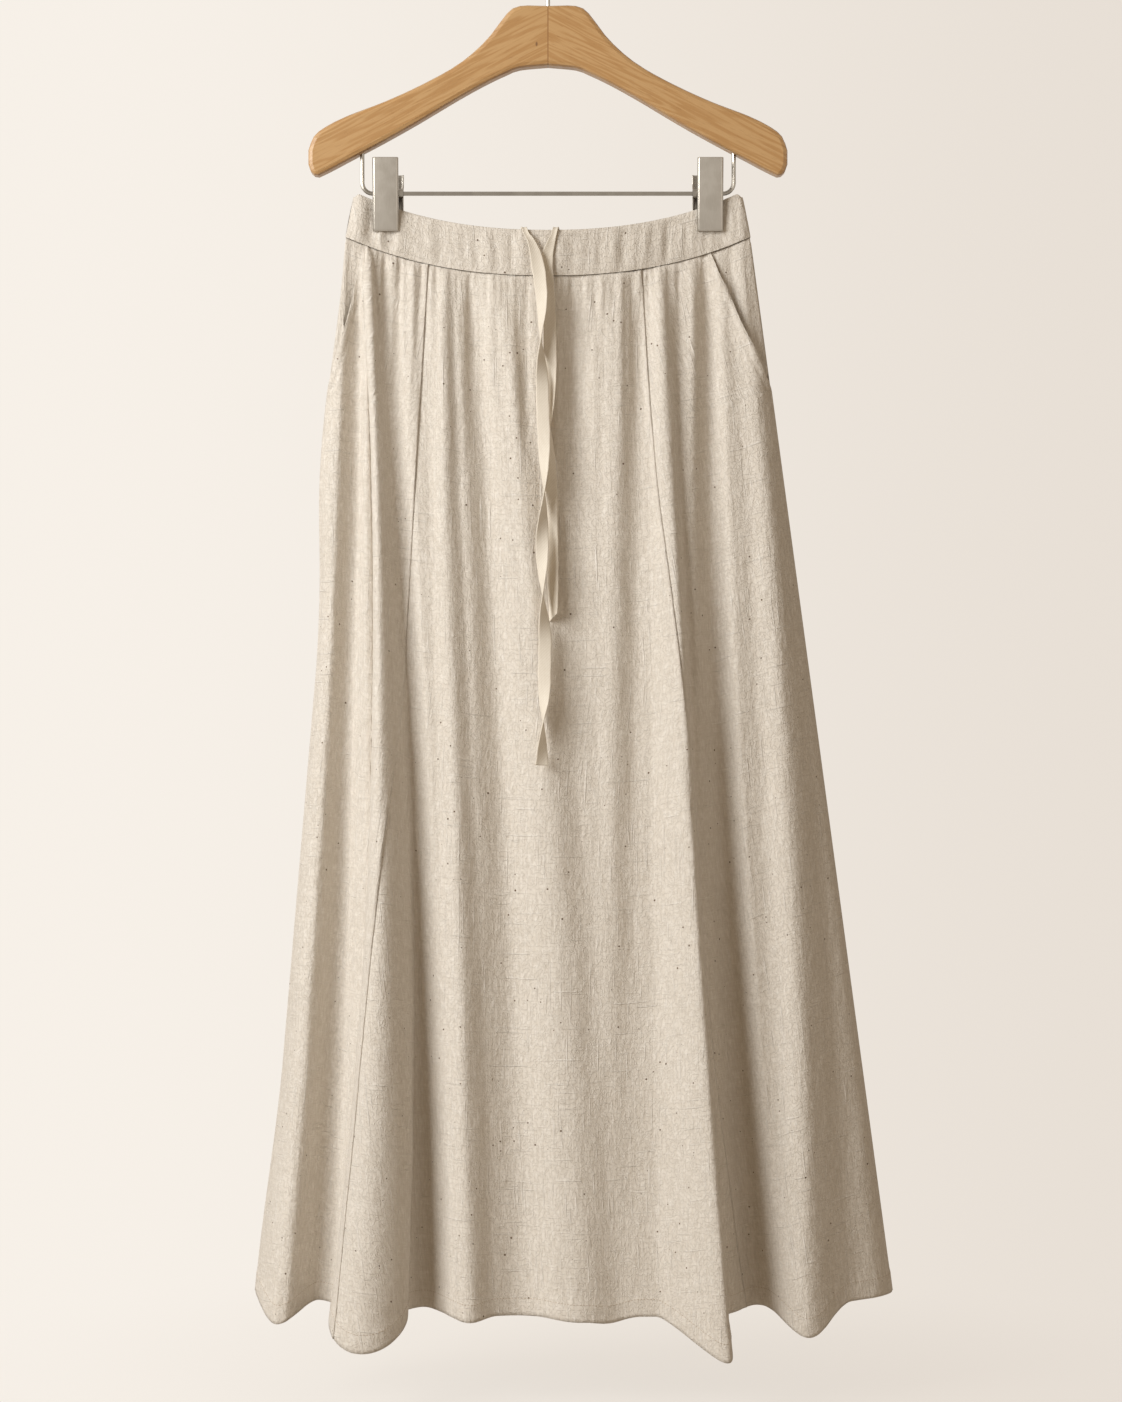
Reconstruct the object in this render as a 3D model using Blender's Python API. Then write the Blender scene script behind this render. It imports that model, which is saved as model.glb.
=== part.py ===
import math
from collections import namedtuple

import bmesh
import bpy
from mathutils import Vector

# The part hangs by the hook: the origin is the inner top of the hook, +Z is up, -Y is the front.
# Sizes below are in millimetres, and MM turns them into metres where a mesh is made.
MM = 0.001

# skirt and waistband
WAIST_HALF_WIDTH = 181
SEAM_HALF_WIDTH = 188
HEM_HALF_WIDTH = 295
HEM_SHIFT = 24
WAIST_TOP = -281
WAIST_SEAM = -323
WAIST_RISE = 37
WAIST_RISE_POWER = 2.2
HEM_CENTRE = -1276
HEM_RISE = 13
PINCHED_DEPTH = 4.2
WAIST_BULGE = 10
LOOP_BULGE = 4
HEM_DEPTH = 74
CLIP_OFFSET = 150.4
CLOTH_WALL = 1.2
BAND_WALL = 3.0
SEAM_GAP = 0.3

# how the skirt's section opens out on the way down
OPENING_RATE = 9
TOP_DEPTH_SHARE = 0.32
SIDE_ROUNDING = 0.75
WAIST_SIDE_ROUNDING = 0.4
WAIST_BULGE_POWER = 1.3
LOOP_START = 6
FOLD_FREE_OF_SIDE = (0.02, 0.4)
FOLD_FREE_OF_WAIST = (-0.02, 0.06)
NORMAL_STEP = 0.005

# the left side swings out at the hip and hangs in a little below it
HIP_SWING = 5
HIP_LEVEL = 0.19
HIP_REACH = 0.16
HANG_IN = 7.5
HANG_LEVELS = (0.22, 0.42, 0.78, 1.0)
LEFT_PART = (0.75, 1.0)

# hanger
WOOD_DEPTH = 22
WOOD_ROUNDING = 4
HOOK_WIRE = 3.8
HOOK_INNER_RADIUS = 20
HOOK_WOOD_TOP = -72
HOOK_SHANK_DEPTH = 18
HOOK_TIP_ANGLE = 195
HOOK_TURN_ANGLE = -60
BAR_WIRE = 4.0
BAR_HEIGHT = -245
BAR_REACH = 172.5
BAR_BEND_RADIUS = 10
BAR_SEAT = -203
HOLE_CLEARANCE = 0.3
HOLE_FREE_DEPTH = 0.5
CUT_BEYOND_WOOD = 5
BAR_CUT_DEPTH = 25
OUTLINE_STEP = 10
PLATE_WIDTH = 24
PLATE_TOP = -213.2
PLATE_BOTTOM = -280.8
PLATE_WALL = 1.2
PLATE_FLANGE = 4
PLATE_TILT = 0.11
PLATE_EDGE = 1.5
SPRING_RADIUS = 4.5
BACK_PLATE_TOP = -226
BACK_PLATE_SHIFT = 4

# A fold runs down the cloth. waist, mid and hem give the place of its crest across the skirt at the
# seam, halfway and at the hem; narrow and wide its half width at the seam and at the hem; top, middle
# and depth how far it stands out there, less than nothing for a valley; lean_mid and lean_hem how far
# its crest leans to +X; swell how far its two flanks bulge apart at the hem; drop how much lower the
# hem hangs at it.
Fold = namedtuple("Fold", "waist mid hem narrow wide top middle depth lean_mid lean_hem swell drop")

FRONT_FOLDS = (
    Fold(-188, -216, -250, 10, 40, 1, 9, 21, 0, 0, 0, 20),
    Fold(-180, -186, -209, 10, 32, -3, -18, -26, 0, 0, 0, 0),
    Fold(-167, -152, -168, 4, 32, 4, 25, 44, -8, -6, 16, 32),
    Fold(-150, -125, -113, 12, 29, -4, -15, -36, 0, 0, 0, 0),
    Fold(-103, -85, -71, 13, 25, 4, 9, 14, 0, 0, 0, 4),
    Fold(-70, -42, -25, 16, 40, -7, -10, -10, 0, 0, 0, 0),
    Fold(-45, 2, 30, 12, 42, 4, 6, 9, 0, 0, 0, 3),
    Fold(24, 30, 36, 20, 26, -10, -1, 0, 0, 0, 0, 0),
    Fold(60, 61, 58, 13, 26, 3, 3, 0, 0, 0, 0, 4),
    Fold(86, 80, 74, 10, 36, -5, -3, -2, 0, 0, 0, 0),
    Fold(105, 128, 162, 12, 34, 4, 24, 40, 12, 30, 0, 36),
    Fold(148, 159, 191, 16, 28, -6, -22, -36, 0, 0, 0, 0),
    Fold(180, 221, 238, 18, 40, 2, 13, 22, 0, 0, 0, 24),
    Fold(188, 246, 284, 8, 20, 0, -1, -3, 0, 0, 0, 0),
)

BACK_FOLDS = (
    Fold(-178, -206, -236, 12, 34, 1, 14, 24, 0, 0, 0, 18),
    Fold(-160, -176, -190, 14, 30, -2, -18, -28, 0, 0, 0, 0),
    Fold(-134, -138, -142, 16, 36, 3, 20, 30, -4, -8, 0, 22),
    Fold(-98, -96, -92, 16, 30, -3, -14, -20, 0, 0, 0, 0),
    Fold(-58, -50, -38, 18, 34, 3, 10, 18, 0, 0, 0, 8),
    Fold(-16, 2, 12, 16, 28, -3, -8, -16, 0, 0, 0, 0),
    Fold(34, 50, 66, 18, 34, 3, 14, 26, 4, 8, 0, 16),
    Fold(78, 100, 118, 16, 30, -3, -16, -26, 0, 0, 0, 0),
    Fold(120, 146, 172, 16, 34, 3, 18, 28, 0, 0, 0, 20),
    Fold(152, 186, 222, 14, 28, -2, -12, -20, 0, 0, 0, 0),
    Fold(178, 222, 266, 12, 28, 1, 8, 18, 0, 0, 0, 14),
)

# Seams between the gores: place across the skirt at the seam, halfway and at the hem
Seam = namedtuple("Seam", "waist mid hem")
FRONT_LEFT_SEAM = Seam(-111, -139, -174)
FRONT_RIGHT_SEAM = Seam(87, 124, 182)
BACK_LEFT_SEAM = Seam(-100, -137, -144)
BACK_RIGHT_SEAM = Seam(100, 145, 172)

# heights of the rings of cloth, as shares of the way from the waist seam to the hem
RINGS = (0, 0.035, 0.075, 0.11, 0.145, 0.22, 0.31, 0.41, 0.52, 0.63, 0.74, 0.85, 0.93, 1)

# A slant pocket mouth starts at the waist seam and ends at the side seam, at this share of the length
Mouth = namedtuple("Mouth", "start end")
LEFT_MOUTH = Mouth(-171, RINGS[4])
RIGHT_MOUTH = Mouth(151, RINGS[4])
MOUTH_LAP = 14
MOUTH_INSET_TOP = 1.9
MOUTH_INSET = 4.4
MOUTH_CLEAR_TURN = 0.008

# The drawstring tapes: x, y and z of the middle, the turn of the flat in degrees, and the width
TAPE_WALL = 1.0
TAPE_STEP = 6
TapePoint = namedtuple("TapePoint", "x y z turn width")
LONG_TAPE = (
    TapePoint(-24.5, -8.4, -292, 0, 5),
    TapePoint(-23.6, -9.0, -285.5, 0, 5),
    TapePoint(-23.0, -9.8, -280.4, 0, 5),
    TapePoint(-22.3, -12.6, -278.3, 0, 5),
    TapePoint(-21.4, -15.6, -280.4, 0, 5),
    TapePoint(-19.4, -17.6, -285.5, 0, 5),
    TapePoint(-14.5, -21.0, -294, -10, 8),
    TapePoint(-9.6, -24.5, -313, 0, 12),
    TapePoint(-5.5, -29.5, -345, 30, 12),
    TapePoint(-6.0, -34.0, -384, 90, 12),
    TapePoint(-5.1, -38.0, -426, 170, 12),
    TapePoint(-3.6, -42.5, -480, 200, 12),
    TapePoint(-3.4, -46.5, -525, 270, 12),
    TapePoint(-5.2, -49.5, -566, 345, 12),
    TapePoint(-4.4, -52.5, -614, 440, 12),
    TapePoint(-2.6, -55.0, -660, 530, 12),
    TapePoint(-3.2, -58.0, -704, 560, 12),
    TapePoint(-4.4, -60.5, -736, 630, 12),
    TapePoint(-5.6, -63.0, -775, 705, 12),
)
SHORT_TAPE = (
    TapePoint(9.0, -8.4, -292, 0, 5),
    TapePoint(8.4, -9.0, -285.5, 0, 5),
    TapePoint(8.0, -9.8, -280.4, 0, 5),
    TapePoint(7.5, -12.6, -278.3, 0, 5),
    TapePoint(6.8, -15.6, -280.4, 0, 5),
    TapePoint(5.4, -16.6, -285.5, 0, 5),
    TapePoint(2.5, -17.4, -294, 10, 8),
    TapePoint(-1.5, -18.4, -313, 0, 12),
    TapePoint(1.0, -22.6, -345, -30, 12),
    TapePoint(2.0, -27.0, -384, -10, 12),
    TapePoint(2.4, -31.0, -434, 40, 12),
    TapePoint(2.6, -35.5, -490, 130, 12),
    TapePoint(3.0, -39.0, -540, 180, 12),
    TapePoint(4.0, -42.5, -590, 200, 12),
    TapePoint(5.0, -46.5, -640, 235, 12),
)

# Half of the hanger's outline: how far out, the top edge and the underside there
Station = namedtuple("Station", "reach top underside")
WOOD_STATIONS = (
    Station(0, -72, -127),
    Station(26, -72, -129.5),
    Station(38, -79, -134),
    Station(53, -99, -141),
    Station(70, -116, -150),
    Station(90, -130.5, -161.5),
    Station(120, -146.5, -179.5),
    Station(152, -161, -197.5),
    Station(186, -174, -215.5),
    Station(206, -184, -226),
    Station(217, -193, -229.5),
    Station(222, -206, -219),
)

COLOURS = {
    "linen": ((0.62, 0.54, 0.43), 0.92, 0.0),
    "tape": ((0.76, 0.70, 0.60), 0.85, 0.0),
    "wood": ((0.50, 0.28, 0.11), 0.45, 0.0),
    "steel": ((0.42, 0.38, 0.32), 0.35, 1.0),
}


def smooth(low, high, value):
    share = min(1.0, max(0.0, (value - low) / (high - low)))
    return share * share * (3 - 2 * share)


def mix(first, second, share):
    return first + (second - first) * share


def three_way(first, middle, last, share):
    # the parabola through three values at 0, one half and 1
    bend = 2 * first - 4 * middle + 2 * last
    slope = last - first - bend
    return first + slope * share + bend * share * share


def bell(distance):
    if abs(distance) >= 1:
        return 0.0
    return 0.5 + 0.5 * math.cos(math.pi * distance)


# Around the body, turn runs from 0 at the left side seam, over the front, to a half at the right
# side seam, and over the back to 1.
def half_width(level):
    return mix(SEAM_HALF_WIDTH, HEM_HALF_WIDTH, level)


def shift(level):
    return HEM_SHIFT * level


def turn_at(x, level, on_back=False):
    across = min(1.0, max(-1.0, (x - shift(level)) / half_width(level)))
    front = 0.5 - math.acos(across) / math.tau
    return 1 - front if on_back else front


def waist_depth(across):
    # nipped at the clips, open between them, and a rounded loop outside them
    x = abs(across) * SEAM_HALF_WIDTH
    nip = PLATE_WIDTH / 2 + BACK_PLATE_SHIFT + 2
    inner = min(1.0, x / (CLIP_OFFSET - nip))
    loop = smooth(CLIP_OFFSET + nip - BACK_PLATE_SHIFT, SEAM_HALF_WIDTH - LOOP_START, x)
    open_share = (1 - inner * inner)**WAIST_BULGE_POWER
    return PINCHED_DEPTH + WAIST_BULGE * open_share + LOOP_BULGE * loop


def left_hang(level, across):
    start, full, release, end = HANG_LEVELS
    held_in = HANG_IN * smooth(start, full, level) * (1 - smooth(release, end, level))
    swing = HIP_SWING * bell((level - HIP_LEVEL) / HIP_REACH)
    return (held_in - swing) * smooth(*LEFT_PART, -across)


def skirt_point(turn, level):
    angle = math.pi - math.tau * turn
    across = math.cos(angle)
    out = abs(math.sin(angle))
    front = -1 if math.sin(angle) >= 0 else 1
    x = shift(level) + half_width(level) * across + left_hang(level, across)
    spread = 1 - math.exp(-OPENING_RATE * level)
    full = mix(TOP_DEPTH_SHARE, 1, level) * HEM_DEPTH * out**SIDE_ROUNDING
    depth = mix(waist_depth(across) * out**WAIST_SIDE_ROUNDING, full, spread)
    rise = abs(across)**WAIST_RISE_POWER
    seam = WAIST_SEAM + WAIST_RISE * rise
    hem = HEM_CENTRE + HEM_RISE * rise
    side_fade = smooth(*FOLD_FREE_OF_SIDE, out)
    start_fade = smooth(*FOLD_FREE_OF_WAIST, level)
    moved = Vector((0, 0, 0))
    for fold in FRONT_FOLDS if front < 0 else BACK_FOLDS:
        lean = three_way(0, fold.lean_mid, fold.lean_hem, level)
        crest = three_way(fold.waist, fold.mid, fold.hem, level) - lean
        away = (x - crest) / mix(fold.narrow, fold.wide, level)
        height = bell(away) * side_fade
        stand = three_way(fold.top, fold.middle, fold.depth, level) * start_fade
        moved += height * Vector((lean, front * stand, -fold.drop * level * level))
        if abs(away) < 1:
            moved.x += fold.swell * level * level * math.sin(math.pi * away) * side_fade
    return Vector((x, front * depth, mix(seam, hem, level))) + moved


def band_point(turn, level):
    angle = math.pi - math.tau * turn
    across = math.cos(angle)
    out = abs(math.sin(angle))
    front = -1 if math.sin(angle) >= 0 else 1
    rise = WAIST_RISE * abs(across)**WAIST_RISE_POWER
    x = mix(WAIST_HALF_WIDTH, SEAM_HALF_WIDTH, level) * across
    z = mix(WAIST_TOP, WAIST_SEAM + SEAM_GAP, level) + rise
    return Vector((x, front * waist_depth(across) * out**WAIST_SIDE_ROUNDING, z))


def outward(surface, turn, level):
    # the surface's normal, away from the inside
    step = NORMAL_STEP
    along = surface((turn + step) % 1, level) - surface((turn - step) % 1, level)
    down = surface(turn, level + step) - surface(turn, level - step)
    return along.cross(-down).normalized()


def material(name):
    made = bpy.data.materials.get(name)
    if made is None:
        colour, roughness, metallic = COLOURS[name]
        made = bpy.data.materials.new(name)
        made.use_nodes = True
        shader = made.node_tree.nodes["Principled BSDF"]
        shader.inputs["Base Color"].default_value = (*colour, 1)
        shader.inputs["Roughness"].default_value = roughness
        shader.inputs["Metallic"].default_value = metallic
    return made


def add_object(name, data, slot):
    made = bpy.data.objects.new(name, data)
    data.materials.append(material(slot))
    bpy.context.collection.objects.link(made)
    return made


def solid_from_rings(name, rings, slot, endless=False, twisted=False):
    # rings of points, in millimetres, skinned into one closed body, with flat ends unless endless;
    # where the rings twist, both faces are split along the same diagonals, so the wall keeps its thickness
    work = bmesh.new()
    rows = [[work.verts.new(point * MM) for point in ring] for ring in rings]
    count = len(rows[0])
    following = rows[1:] + rows[:1] if endless else rows[1:]
    for upper, lower in zip(rows, following):
        for index in range(count):
            after = (index + 1) % count
            corners = (upper[index], upper[after], lower[after], lower[index])
            if not twisted:
                work.faces.new(corners)
            elif index < count / 2:
                work.faces.new(corners[:3])
                work.faces.new((*corners[2:], corners[0]))
            else:
                work.faces.new((*corners[:2], corners[3]))
                work.faces.new(corners[1:])
    if not endless:
        work.faces.new(rows[0])
        work.faces.new(rows[-1])
    bmesh.ops.recalc_face_normals(work, faces=work.faces)
    mesh = bpy.data.meshes.new(name)
    work.to_mesh(mesh)
    work.free()
    return add_object(name, mesh, slot)


def wall(name, surface, rows, thickness, slot, inset=None):
    # rows of (turn, level) pairs, top to bottom, become a wall whose outer face lies on the surface
    outer = []
    inner = []
    for row in rows:
        points = [surface(turn, level) for turn, level in row]
        normals = [outward(surface, turn, level) for turn, level in row]
        if inset:
            last = len(points) - 1
            points = [
                point - normal * inset(index / last, row[index][1])
                for index, (point, normal) in enumerate(zip(points, normals))
            ]
        for end, beside in ((0, 1), (-1, -2)):
            chord = points[beside] - points[end]
            flat = chord - normals[end] * chord.dot(normals[end])
            points[end] = points[end] + flat.normalized() * SEAM_GAP / 2
        outer.append(points)
        inner.append([point - normal * thickness for point, normal in zip(points, normals)])
    work = bmesh.new()
    faces = [[[work.verts.new(p * MM) for p in row] for row in side] for side in (outer, inner)]
    tall = len(rows) - 1
    wide = len(rows[0]) - 1
    for side in faces:
        for row in range(tall):
            for column in range(wide):
                corners = (
                    side[row][column],
                    side[row][column + 1],
                    side[row + 1][column + 1],
                    side[row + 1][column],
                )
                work.faces.new(corners)
    rim = [(0, column) for column in range(wide)]
    rim += [(row, wide) for row in range(tall)]
    rim += [(tall, column) for column in range(wide, 0, -1)]
    rim += [(row, 0) for row in range(tall, 0, -1)]
    for first, second in zip(rim, rim[1:] + rim[:1]):
        # a seam's two rims are split the same way, so that they stay the gap apart where they twist
        (row, column), (next_row, next_column) = sorted((first, second))
        upper_out, upper_in = faces[0][row][column], faces[1][row][column]
        lower_out, lower_in = faces[0][next_row][next_column], faces[1][next_row][next_column]
        work.faces.new((upper_out, upper_in, lower_in))
        work.faces.new((upper_out, lower_in, lower_out))
    bmesh.ops.recalc_face_normals(work, faces=work.faces)
    mesh = bpy.data.meshes.new(name)
    work.to_mesh(mesh)
    work.free()
    return add_object(name, mesh, slot)


def spread_evenly(first, last, count):
    return [mix(first, last, index / count) for index in range(count + 1)]


def seam_turn(seam, level, on_back=False):
    return turn_at(three_way(seam.waist, seam.mid, seam.hem, level), level, on_back)


def mouth_turn(mouth, level):
    side = 0.5 if mouth.start > 0 else 0.0
    if level >= mouth.end:
        return side
    edge = shift(mouth.end) + math.copysign(half_width(mouth.end), mouth.start)
    return turn_at(mix(mouth.start, edge, level / mouth.end), level)


def panel_rows(first_edge, last_edge, columns, levels=RINGS):
    return [
        [(turn, level) for turn in spread_evenly(first_edge(level), last_edge(level), columns)]
        for level in levels
    ]


def make_gores():
    def front_left(level):
        return seam_turn(FRONT_LEFT_SEAM, level)

    def front_right(level):
        return seam_turn(FRONT_RIGHT_SEAM, level)

    def back_left(level):
        return seam_turn(BACK_LEFT_SEAM, level, True)

    def back_right(level):
        return seam_turn(BACK_RIGHT_SEAM, level, True)

    gores = (
        ("front_side_left", lambda level: mouth_turn(LEFT_MOUTH, level), front_left, 14),
        ("front_centre", front_left, front_right, 36),
        ("front_side_right", front_right, lambda level: mouth_turn(RIGHT_MOUTH, level), 16),
        ("back_side_right", lambda level: 0.5, back_right, 14),
        ("back_centre", back_right, back_left, 26),
        ("back_side_left", back_left, lambda level: 1.0, 14),
    )
    for name, first_edge, last_edge, columns in gores:
        wall(name, skirt_point, panel_rows(first_edge, last_edge, columns), CLOTH_WALL, "linen")


def make_pockets():
    # the layer behind each slant mouth laps under the front gore and ends at the side seam
    for name, mouth in (("pocket_left", LEFT_MOUTH), ("pocket_right", RIGHT_MOUTH)):
        side = 0.5 if mouth.start > 0 else 0.0
        toward_front = -1 if mouth.start > 0 else 1

        def lap_turn(level, mouth=mouth, toward_front=toward_front):
            start = mouth_turn(mouth, min(level, mouth.end * 0.93))
            return start + toward_front * MOUTH_LAP / (math.tau * half_width(level))

        def side_turn(level, side=side, mouth=mouth, toward_front=toward_front):
            return side + toward_front * MOUTH_CLEAR_TURN * smooth(0, mouth.end / 2, level)

        rows = panel_rows(lap_turn, side_turn, 8, RINGS[:5])

        def inset(share, level, mouth=mouth):
            at_side = MOUTH_INSET * smooth(0, mouth.end * 0.7, level)
            inner = mix(MOUTH_INSET_TOP, MOUTH_INSET, smooth(0, mouth.end / 2, level))
            return mix(inner, at_side, smooth(0.5, 1, share))

        wall(name, skirt_point, rows, CLOTH_WALL, "linen", inset)


def make_waistband():
    for name, first, last in (("waistband_front", 0.0, 0.5), ("waistband_back", 0.5, 1.0)):
        rows = panel_rows(lambda level, first=first: first, lambda level, last=last: last, 36, (0, 1))
        wall(name, band_point, rows, BAND_WALL, "linen")


def curve_through(points, step):
    # a smooth curve through the points, read off about every step
    values = [Vector(point) for point in points]
    padded = [2 * values[0] - values[1], *values, 2 * values[-1] - values[-2]]
    found = []
    for before, start, end, after in zip(padded, padded[1:], padded[2:], padded[3:]):
        count = max(2, round((Vector(end[:3]) - Vector(start[:3])).length / step))
        for index in range(count):
            t = index / count
            found.append(
                0.5
                * (
                    2 * start
                    + (end - before) * t
                    + (2 * before - 5 * start + 4 * end - after) * t * t
                    + (3 * start - before - 3 * end + after) * t * t * t
                )
            )
    return [*found, values[-1]]


def make_tape(name, points):
    stations = [TapePoint(*values) for values in curve_through(points, TAPE_STEP)]
    middles = [Vector((station.x, station.y, station.z)) for station in stations]
    rings = []
    for index, (middle, station) in enumerate(zip(middles, stations)):
        ahead = middles[min(index + 1, len(middles) - 1)] - middles[max(index - 1, 0)]
        forward = ahead.normalized()
        side = (Vector((1, 0, 0)) - forward * forward.x).normalized()
        face = forward.cross(side)
        angle = math.radians(station.turn)
        flat = side * math.cos(angle) + face * math.sin(angle)
        thick = face * math.cos(angle) - side * math.sin(angle)
        half = flat * station.width / 2
        skin = thick * TAPE_WALL / 2
        rings.append([middle - half - skin, middle + half - skin, middle + half + skin, middle - half + skin])
    return solid_from_rings(name, rings, "tape", twisted=True)


def make_hook():
    # a question mark of wire: round over the rail, then back to a straight shank in the wood
    radius = HOOK_INNER_RADIUS + HOOK_WIRE / 2
    middle = Vector((0, 0, -HOOK_INNER_RADIUS))
    lower = Vector((radius, 0, -HOOK_INNER_RADIUS - radius * math.sqrt(3)))
    tip_angle = math.radians(HOOK_TIP_ANGLE)
    turn_angle = math.radians(HOOK_TURN_ANGLE)
    points = []
    for angle in spread_evenly(tip_angle, turn_angle, 22):
        points.append(middle + radius * Vector((math.cos(angle), 0, math.sin(angle))))
    for angle in spread_evenly(math.radians(120), math.radians(180), 6)[1:]:
        points.append(lower + radius * Vector((math.cos(angle), 0, math.sin(angle))))
    points.append(Vector((0, 0, HOOK_WOOD_TOP - HOOK_SHANK_DEPTH)))
    return wire("hanger_hook", points, HOOK_WIRE)


def wire(name, points, diameter):
    curve = bpy.data.curves.new(name, "CURVE")
    curve.dimensions = "3D"
    curve.bevel_depth = diameter / 2 * MM
    curve.bevel_resolution = 2
    curve.use_fill_caps = True
    spline = curve.splines.new("POLY")
    spline.points.add(len(points) - 1)
    for place, point in zip(spline.points, points):
        place.co = (*(point * MM), 1)
    return add_object(name, curve, "steel")


def make_bar():
    # a level wire whose ends bend up into holes in the wood's underside
    points = []
    for side in (-1, 1):
        corner = Vector((side * (BAR_REACH - BAR_BEND_RADIUS), 0, BAR_HEIGHT + BAR_BEND_RADIUS))
        bend = []
        for angle in spread_evenly(0, math.pi / 2, 6):
            reach = Vector((side * math.cos(angle), 0, -math.sin(angle)))
            bend.append(corner + BAR_BEND_RADIUS * reach)
        stretch = [Vector((side * BAR_REACH, 0, BAR_SEAT)), *bend]
        points += stretch if side < 0 else stretch[::-1]
    return wire("hanger_bar", points, BAR_WIRE)


def hole(name, x, top, bottom, radius):
    work = bmesh.new()
    bmesh.ops.create_cone(
        work,
        cap_ends=True,
        segments=16,
        radius1=radius * MM,
        radius2=radius * MM,
        depth=(top - bottom) * MM,
    )
    mesh = bpy.data.meshes.new(name)
    work.to_mesh(mesh)
    work.free()
    cutter = bpy.data.objects.new(name, mesh)
    cutter.location = Vector((x, 0, (top + bottom) / 2)) * MM
    cutter.hide_render = True
    cutter.display_type = "WIRE"
    bpy.context.collection.objects.link(cutter)
    return cutter


def make_wood():
    top = curve_through([(s.reach, 0, s.top) for s in WOOD_STATIONS], OUTLINE_STEP)
    underside = curve_through([(s.reach, 0, s.underside) for s in WOOD_STATIONS], OUTLINE_STEP)
    right = [*top, *underside[:0:-1]]
    mirrored = [Vector((-point.x, 0, point.z)) for point in right[::-1]]
    outline = [*right, underside[0], *mirrored[:-1]]
    rings = [[point + Vector((0, side * WOOD_DEPTH / 2, 0)) for point in outline] for side in (-1, 1)]
    wood = solid_from_rings("hanger_wood", rings, "wood")
    hook_bottom = HOOK_WOOD_TOP - HOOK_SHANK_DEPTH - HOLE_FREE_DEPTH
    bar_top = BAR_SEAT + HOLE_FREE_DEPTH
    bar_bottom = BAR_SEAT - BAR_CUT_DEPTH
    for name, x, high, low, diameter in (
        ("hook_hole", 0, HOOK_WOOD_TOP + CUT_BEYOND_WOOD, hook_bottom, HOOK_WIRE),
        ("bar_hole_left", -BAR_REACH, bar_top, bar_bottom, BAR_WIRE),
        ("bar_hole_right", BAR_REACH, bar_top, bar_bottom, BAR_WIRE),
    ):
        cut = wood.modifiers.new(name, "BOOLEAN")
        cut.object = hole(name, x, high, low, diameter / 2 + HOLE_CLEARANCE)
        cut.operation = "DIFFERENCE"
    rounding = wood.modifiers.new("rounding", "BEVEL")
    rounding.width = WOOD_ROUNDING * MM
    rounding.segments = 2
    rounding.limit_method = "ANGLE"
    rounding.angle_limit = math.radians(60)
    wood.modifiers.move(3, 0)
    return wood


def plate(name, x, top, facing):
    # a pressed plate whose side flanges nip the waistband below and reach in as ears to the spring
    half = PLATE_WIDTH / 2
    nip = PINCHED_DEPTH + SEAM_GAP + PLATE_FLANGE
    ear_reach = SPRING_RADIUS + SEAM_GAP
    levels = (
        (top, 0.6, False),
        (top - 2, 0, False),
        (BAR_HEIGHT + 10, 0, False),
        (BAR_HEIGHT + 5, 0, True),
        (BAR_HEIGHT - 5, 0, True),
        (BAR_HEIGHT - 10, 0, False),
        (PLATE_BOTTOM + 2, 0, False),
        (PLATE_BOTTOM, 0.6, False),
    )
    rings = []
    for z, tuck, eared in levels:
        away = nip + (z - PLATE_BOTTOM) * PLATE_TILT - tuck
        flange = away - ear_reach if eared else PLATE_FLANGE - tuck
        outer = [(-half, flange), (-half, PLATE_EDGE), (PLATE_EDGE - half, 0)]
        inner = [
            (PLATE_EDGE + 0.3 - half, PLATE_WALL),
            (PLATE_WALL - half, PLATE_EDGE + 0.3),
            (PLATE_WALL - half, flange),
        ]
        mirrored_outer = [(-across, inward) for across, inward in outer[::-1]]
        mirrored_inner = [(-across, inward) for across, inward in inner[::-1]]
        profile = outer + mirrored_outer + mirrored_inner + inner
        rings.append([Vector((x + across, facing * (away - inward), z)) for across, inward in profile])
    return solid_from_rings(name, rings, "steel")


def make_spring(name, first, last):
    # the coil on the bar, as a plain sleeve
    rings = []
    for angle in spread_evenly(0, math.tau, 16)[:-1]:
        spoke = Vector((0, math.cos(angle), math.sin(angle)))
        middle = Vector((0, 0, BAR_HEIGHT))
        ring = []
        for x, radius in (
            (first, SPRING_RADIUS),
            (last, SPRING_RADIUS),
            (last, BAR_WIRE / 2 + HOLE_CLEARANCE),
            (first, BAR_WIRE / 2 + HOLE_CLEARANCE),
        ):
            ring.append(middle + spoke * radius + Vector((x, 0, 0)))
        rings.append(ring)
    return solid_from_rings(name, rings, "steel", endless=True)


def make_clips():
    for side, sign in (("left", -1), ("right", 1)):
        centre = sign * CLIP_OFFSET
        plate(f"clip_{side}_front_plate", centre, PLATE_TOP, -1)
        plate(f"clip_{side}_back_plate", centre - sign * BACK_PLATE_SHIFT, BACK_PLATE_TOP, 1)
        outer_end = centre + sign * (PLATE_WIDTH / 2 - 1)
        inner_end = centre - sign * (PLATE_WIDTH / 2 + BACK_PLATE_SHIFT)
        make_spring(f"clip_{side}_spring", *sorted((outer_end, inner_end)))


def main():
    for existing in list(bpy.data.objects):
        bpy.data.objects.remove(existing, do_unlink=True)
    make_waistband()
    make_gores()
    make_pockets()
    make_tape("drawstring_long", LONG_TAPE)
    make_tape("drawstring_short", SHORT_TAPE)
    make_wood()
    make_hook()
    make_bar()
    make_clips()


main()
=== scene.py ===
import math
from collections import namedtuple

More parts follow.
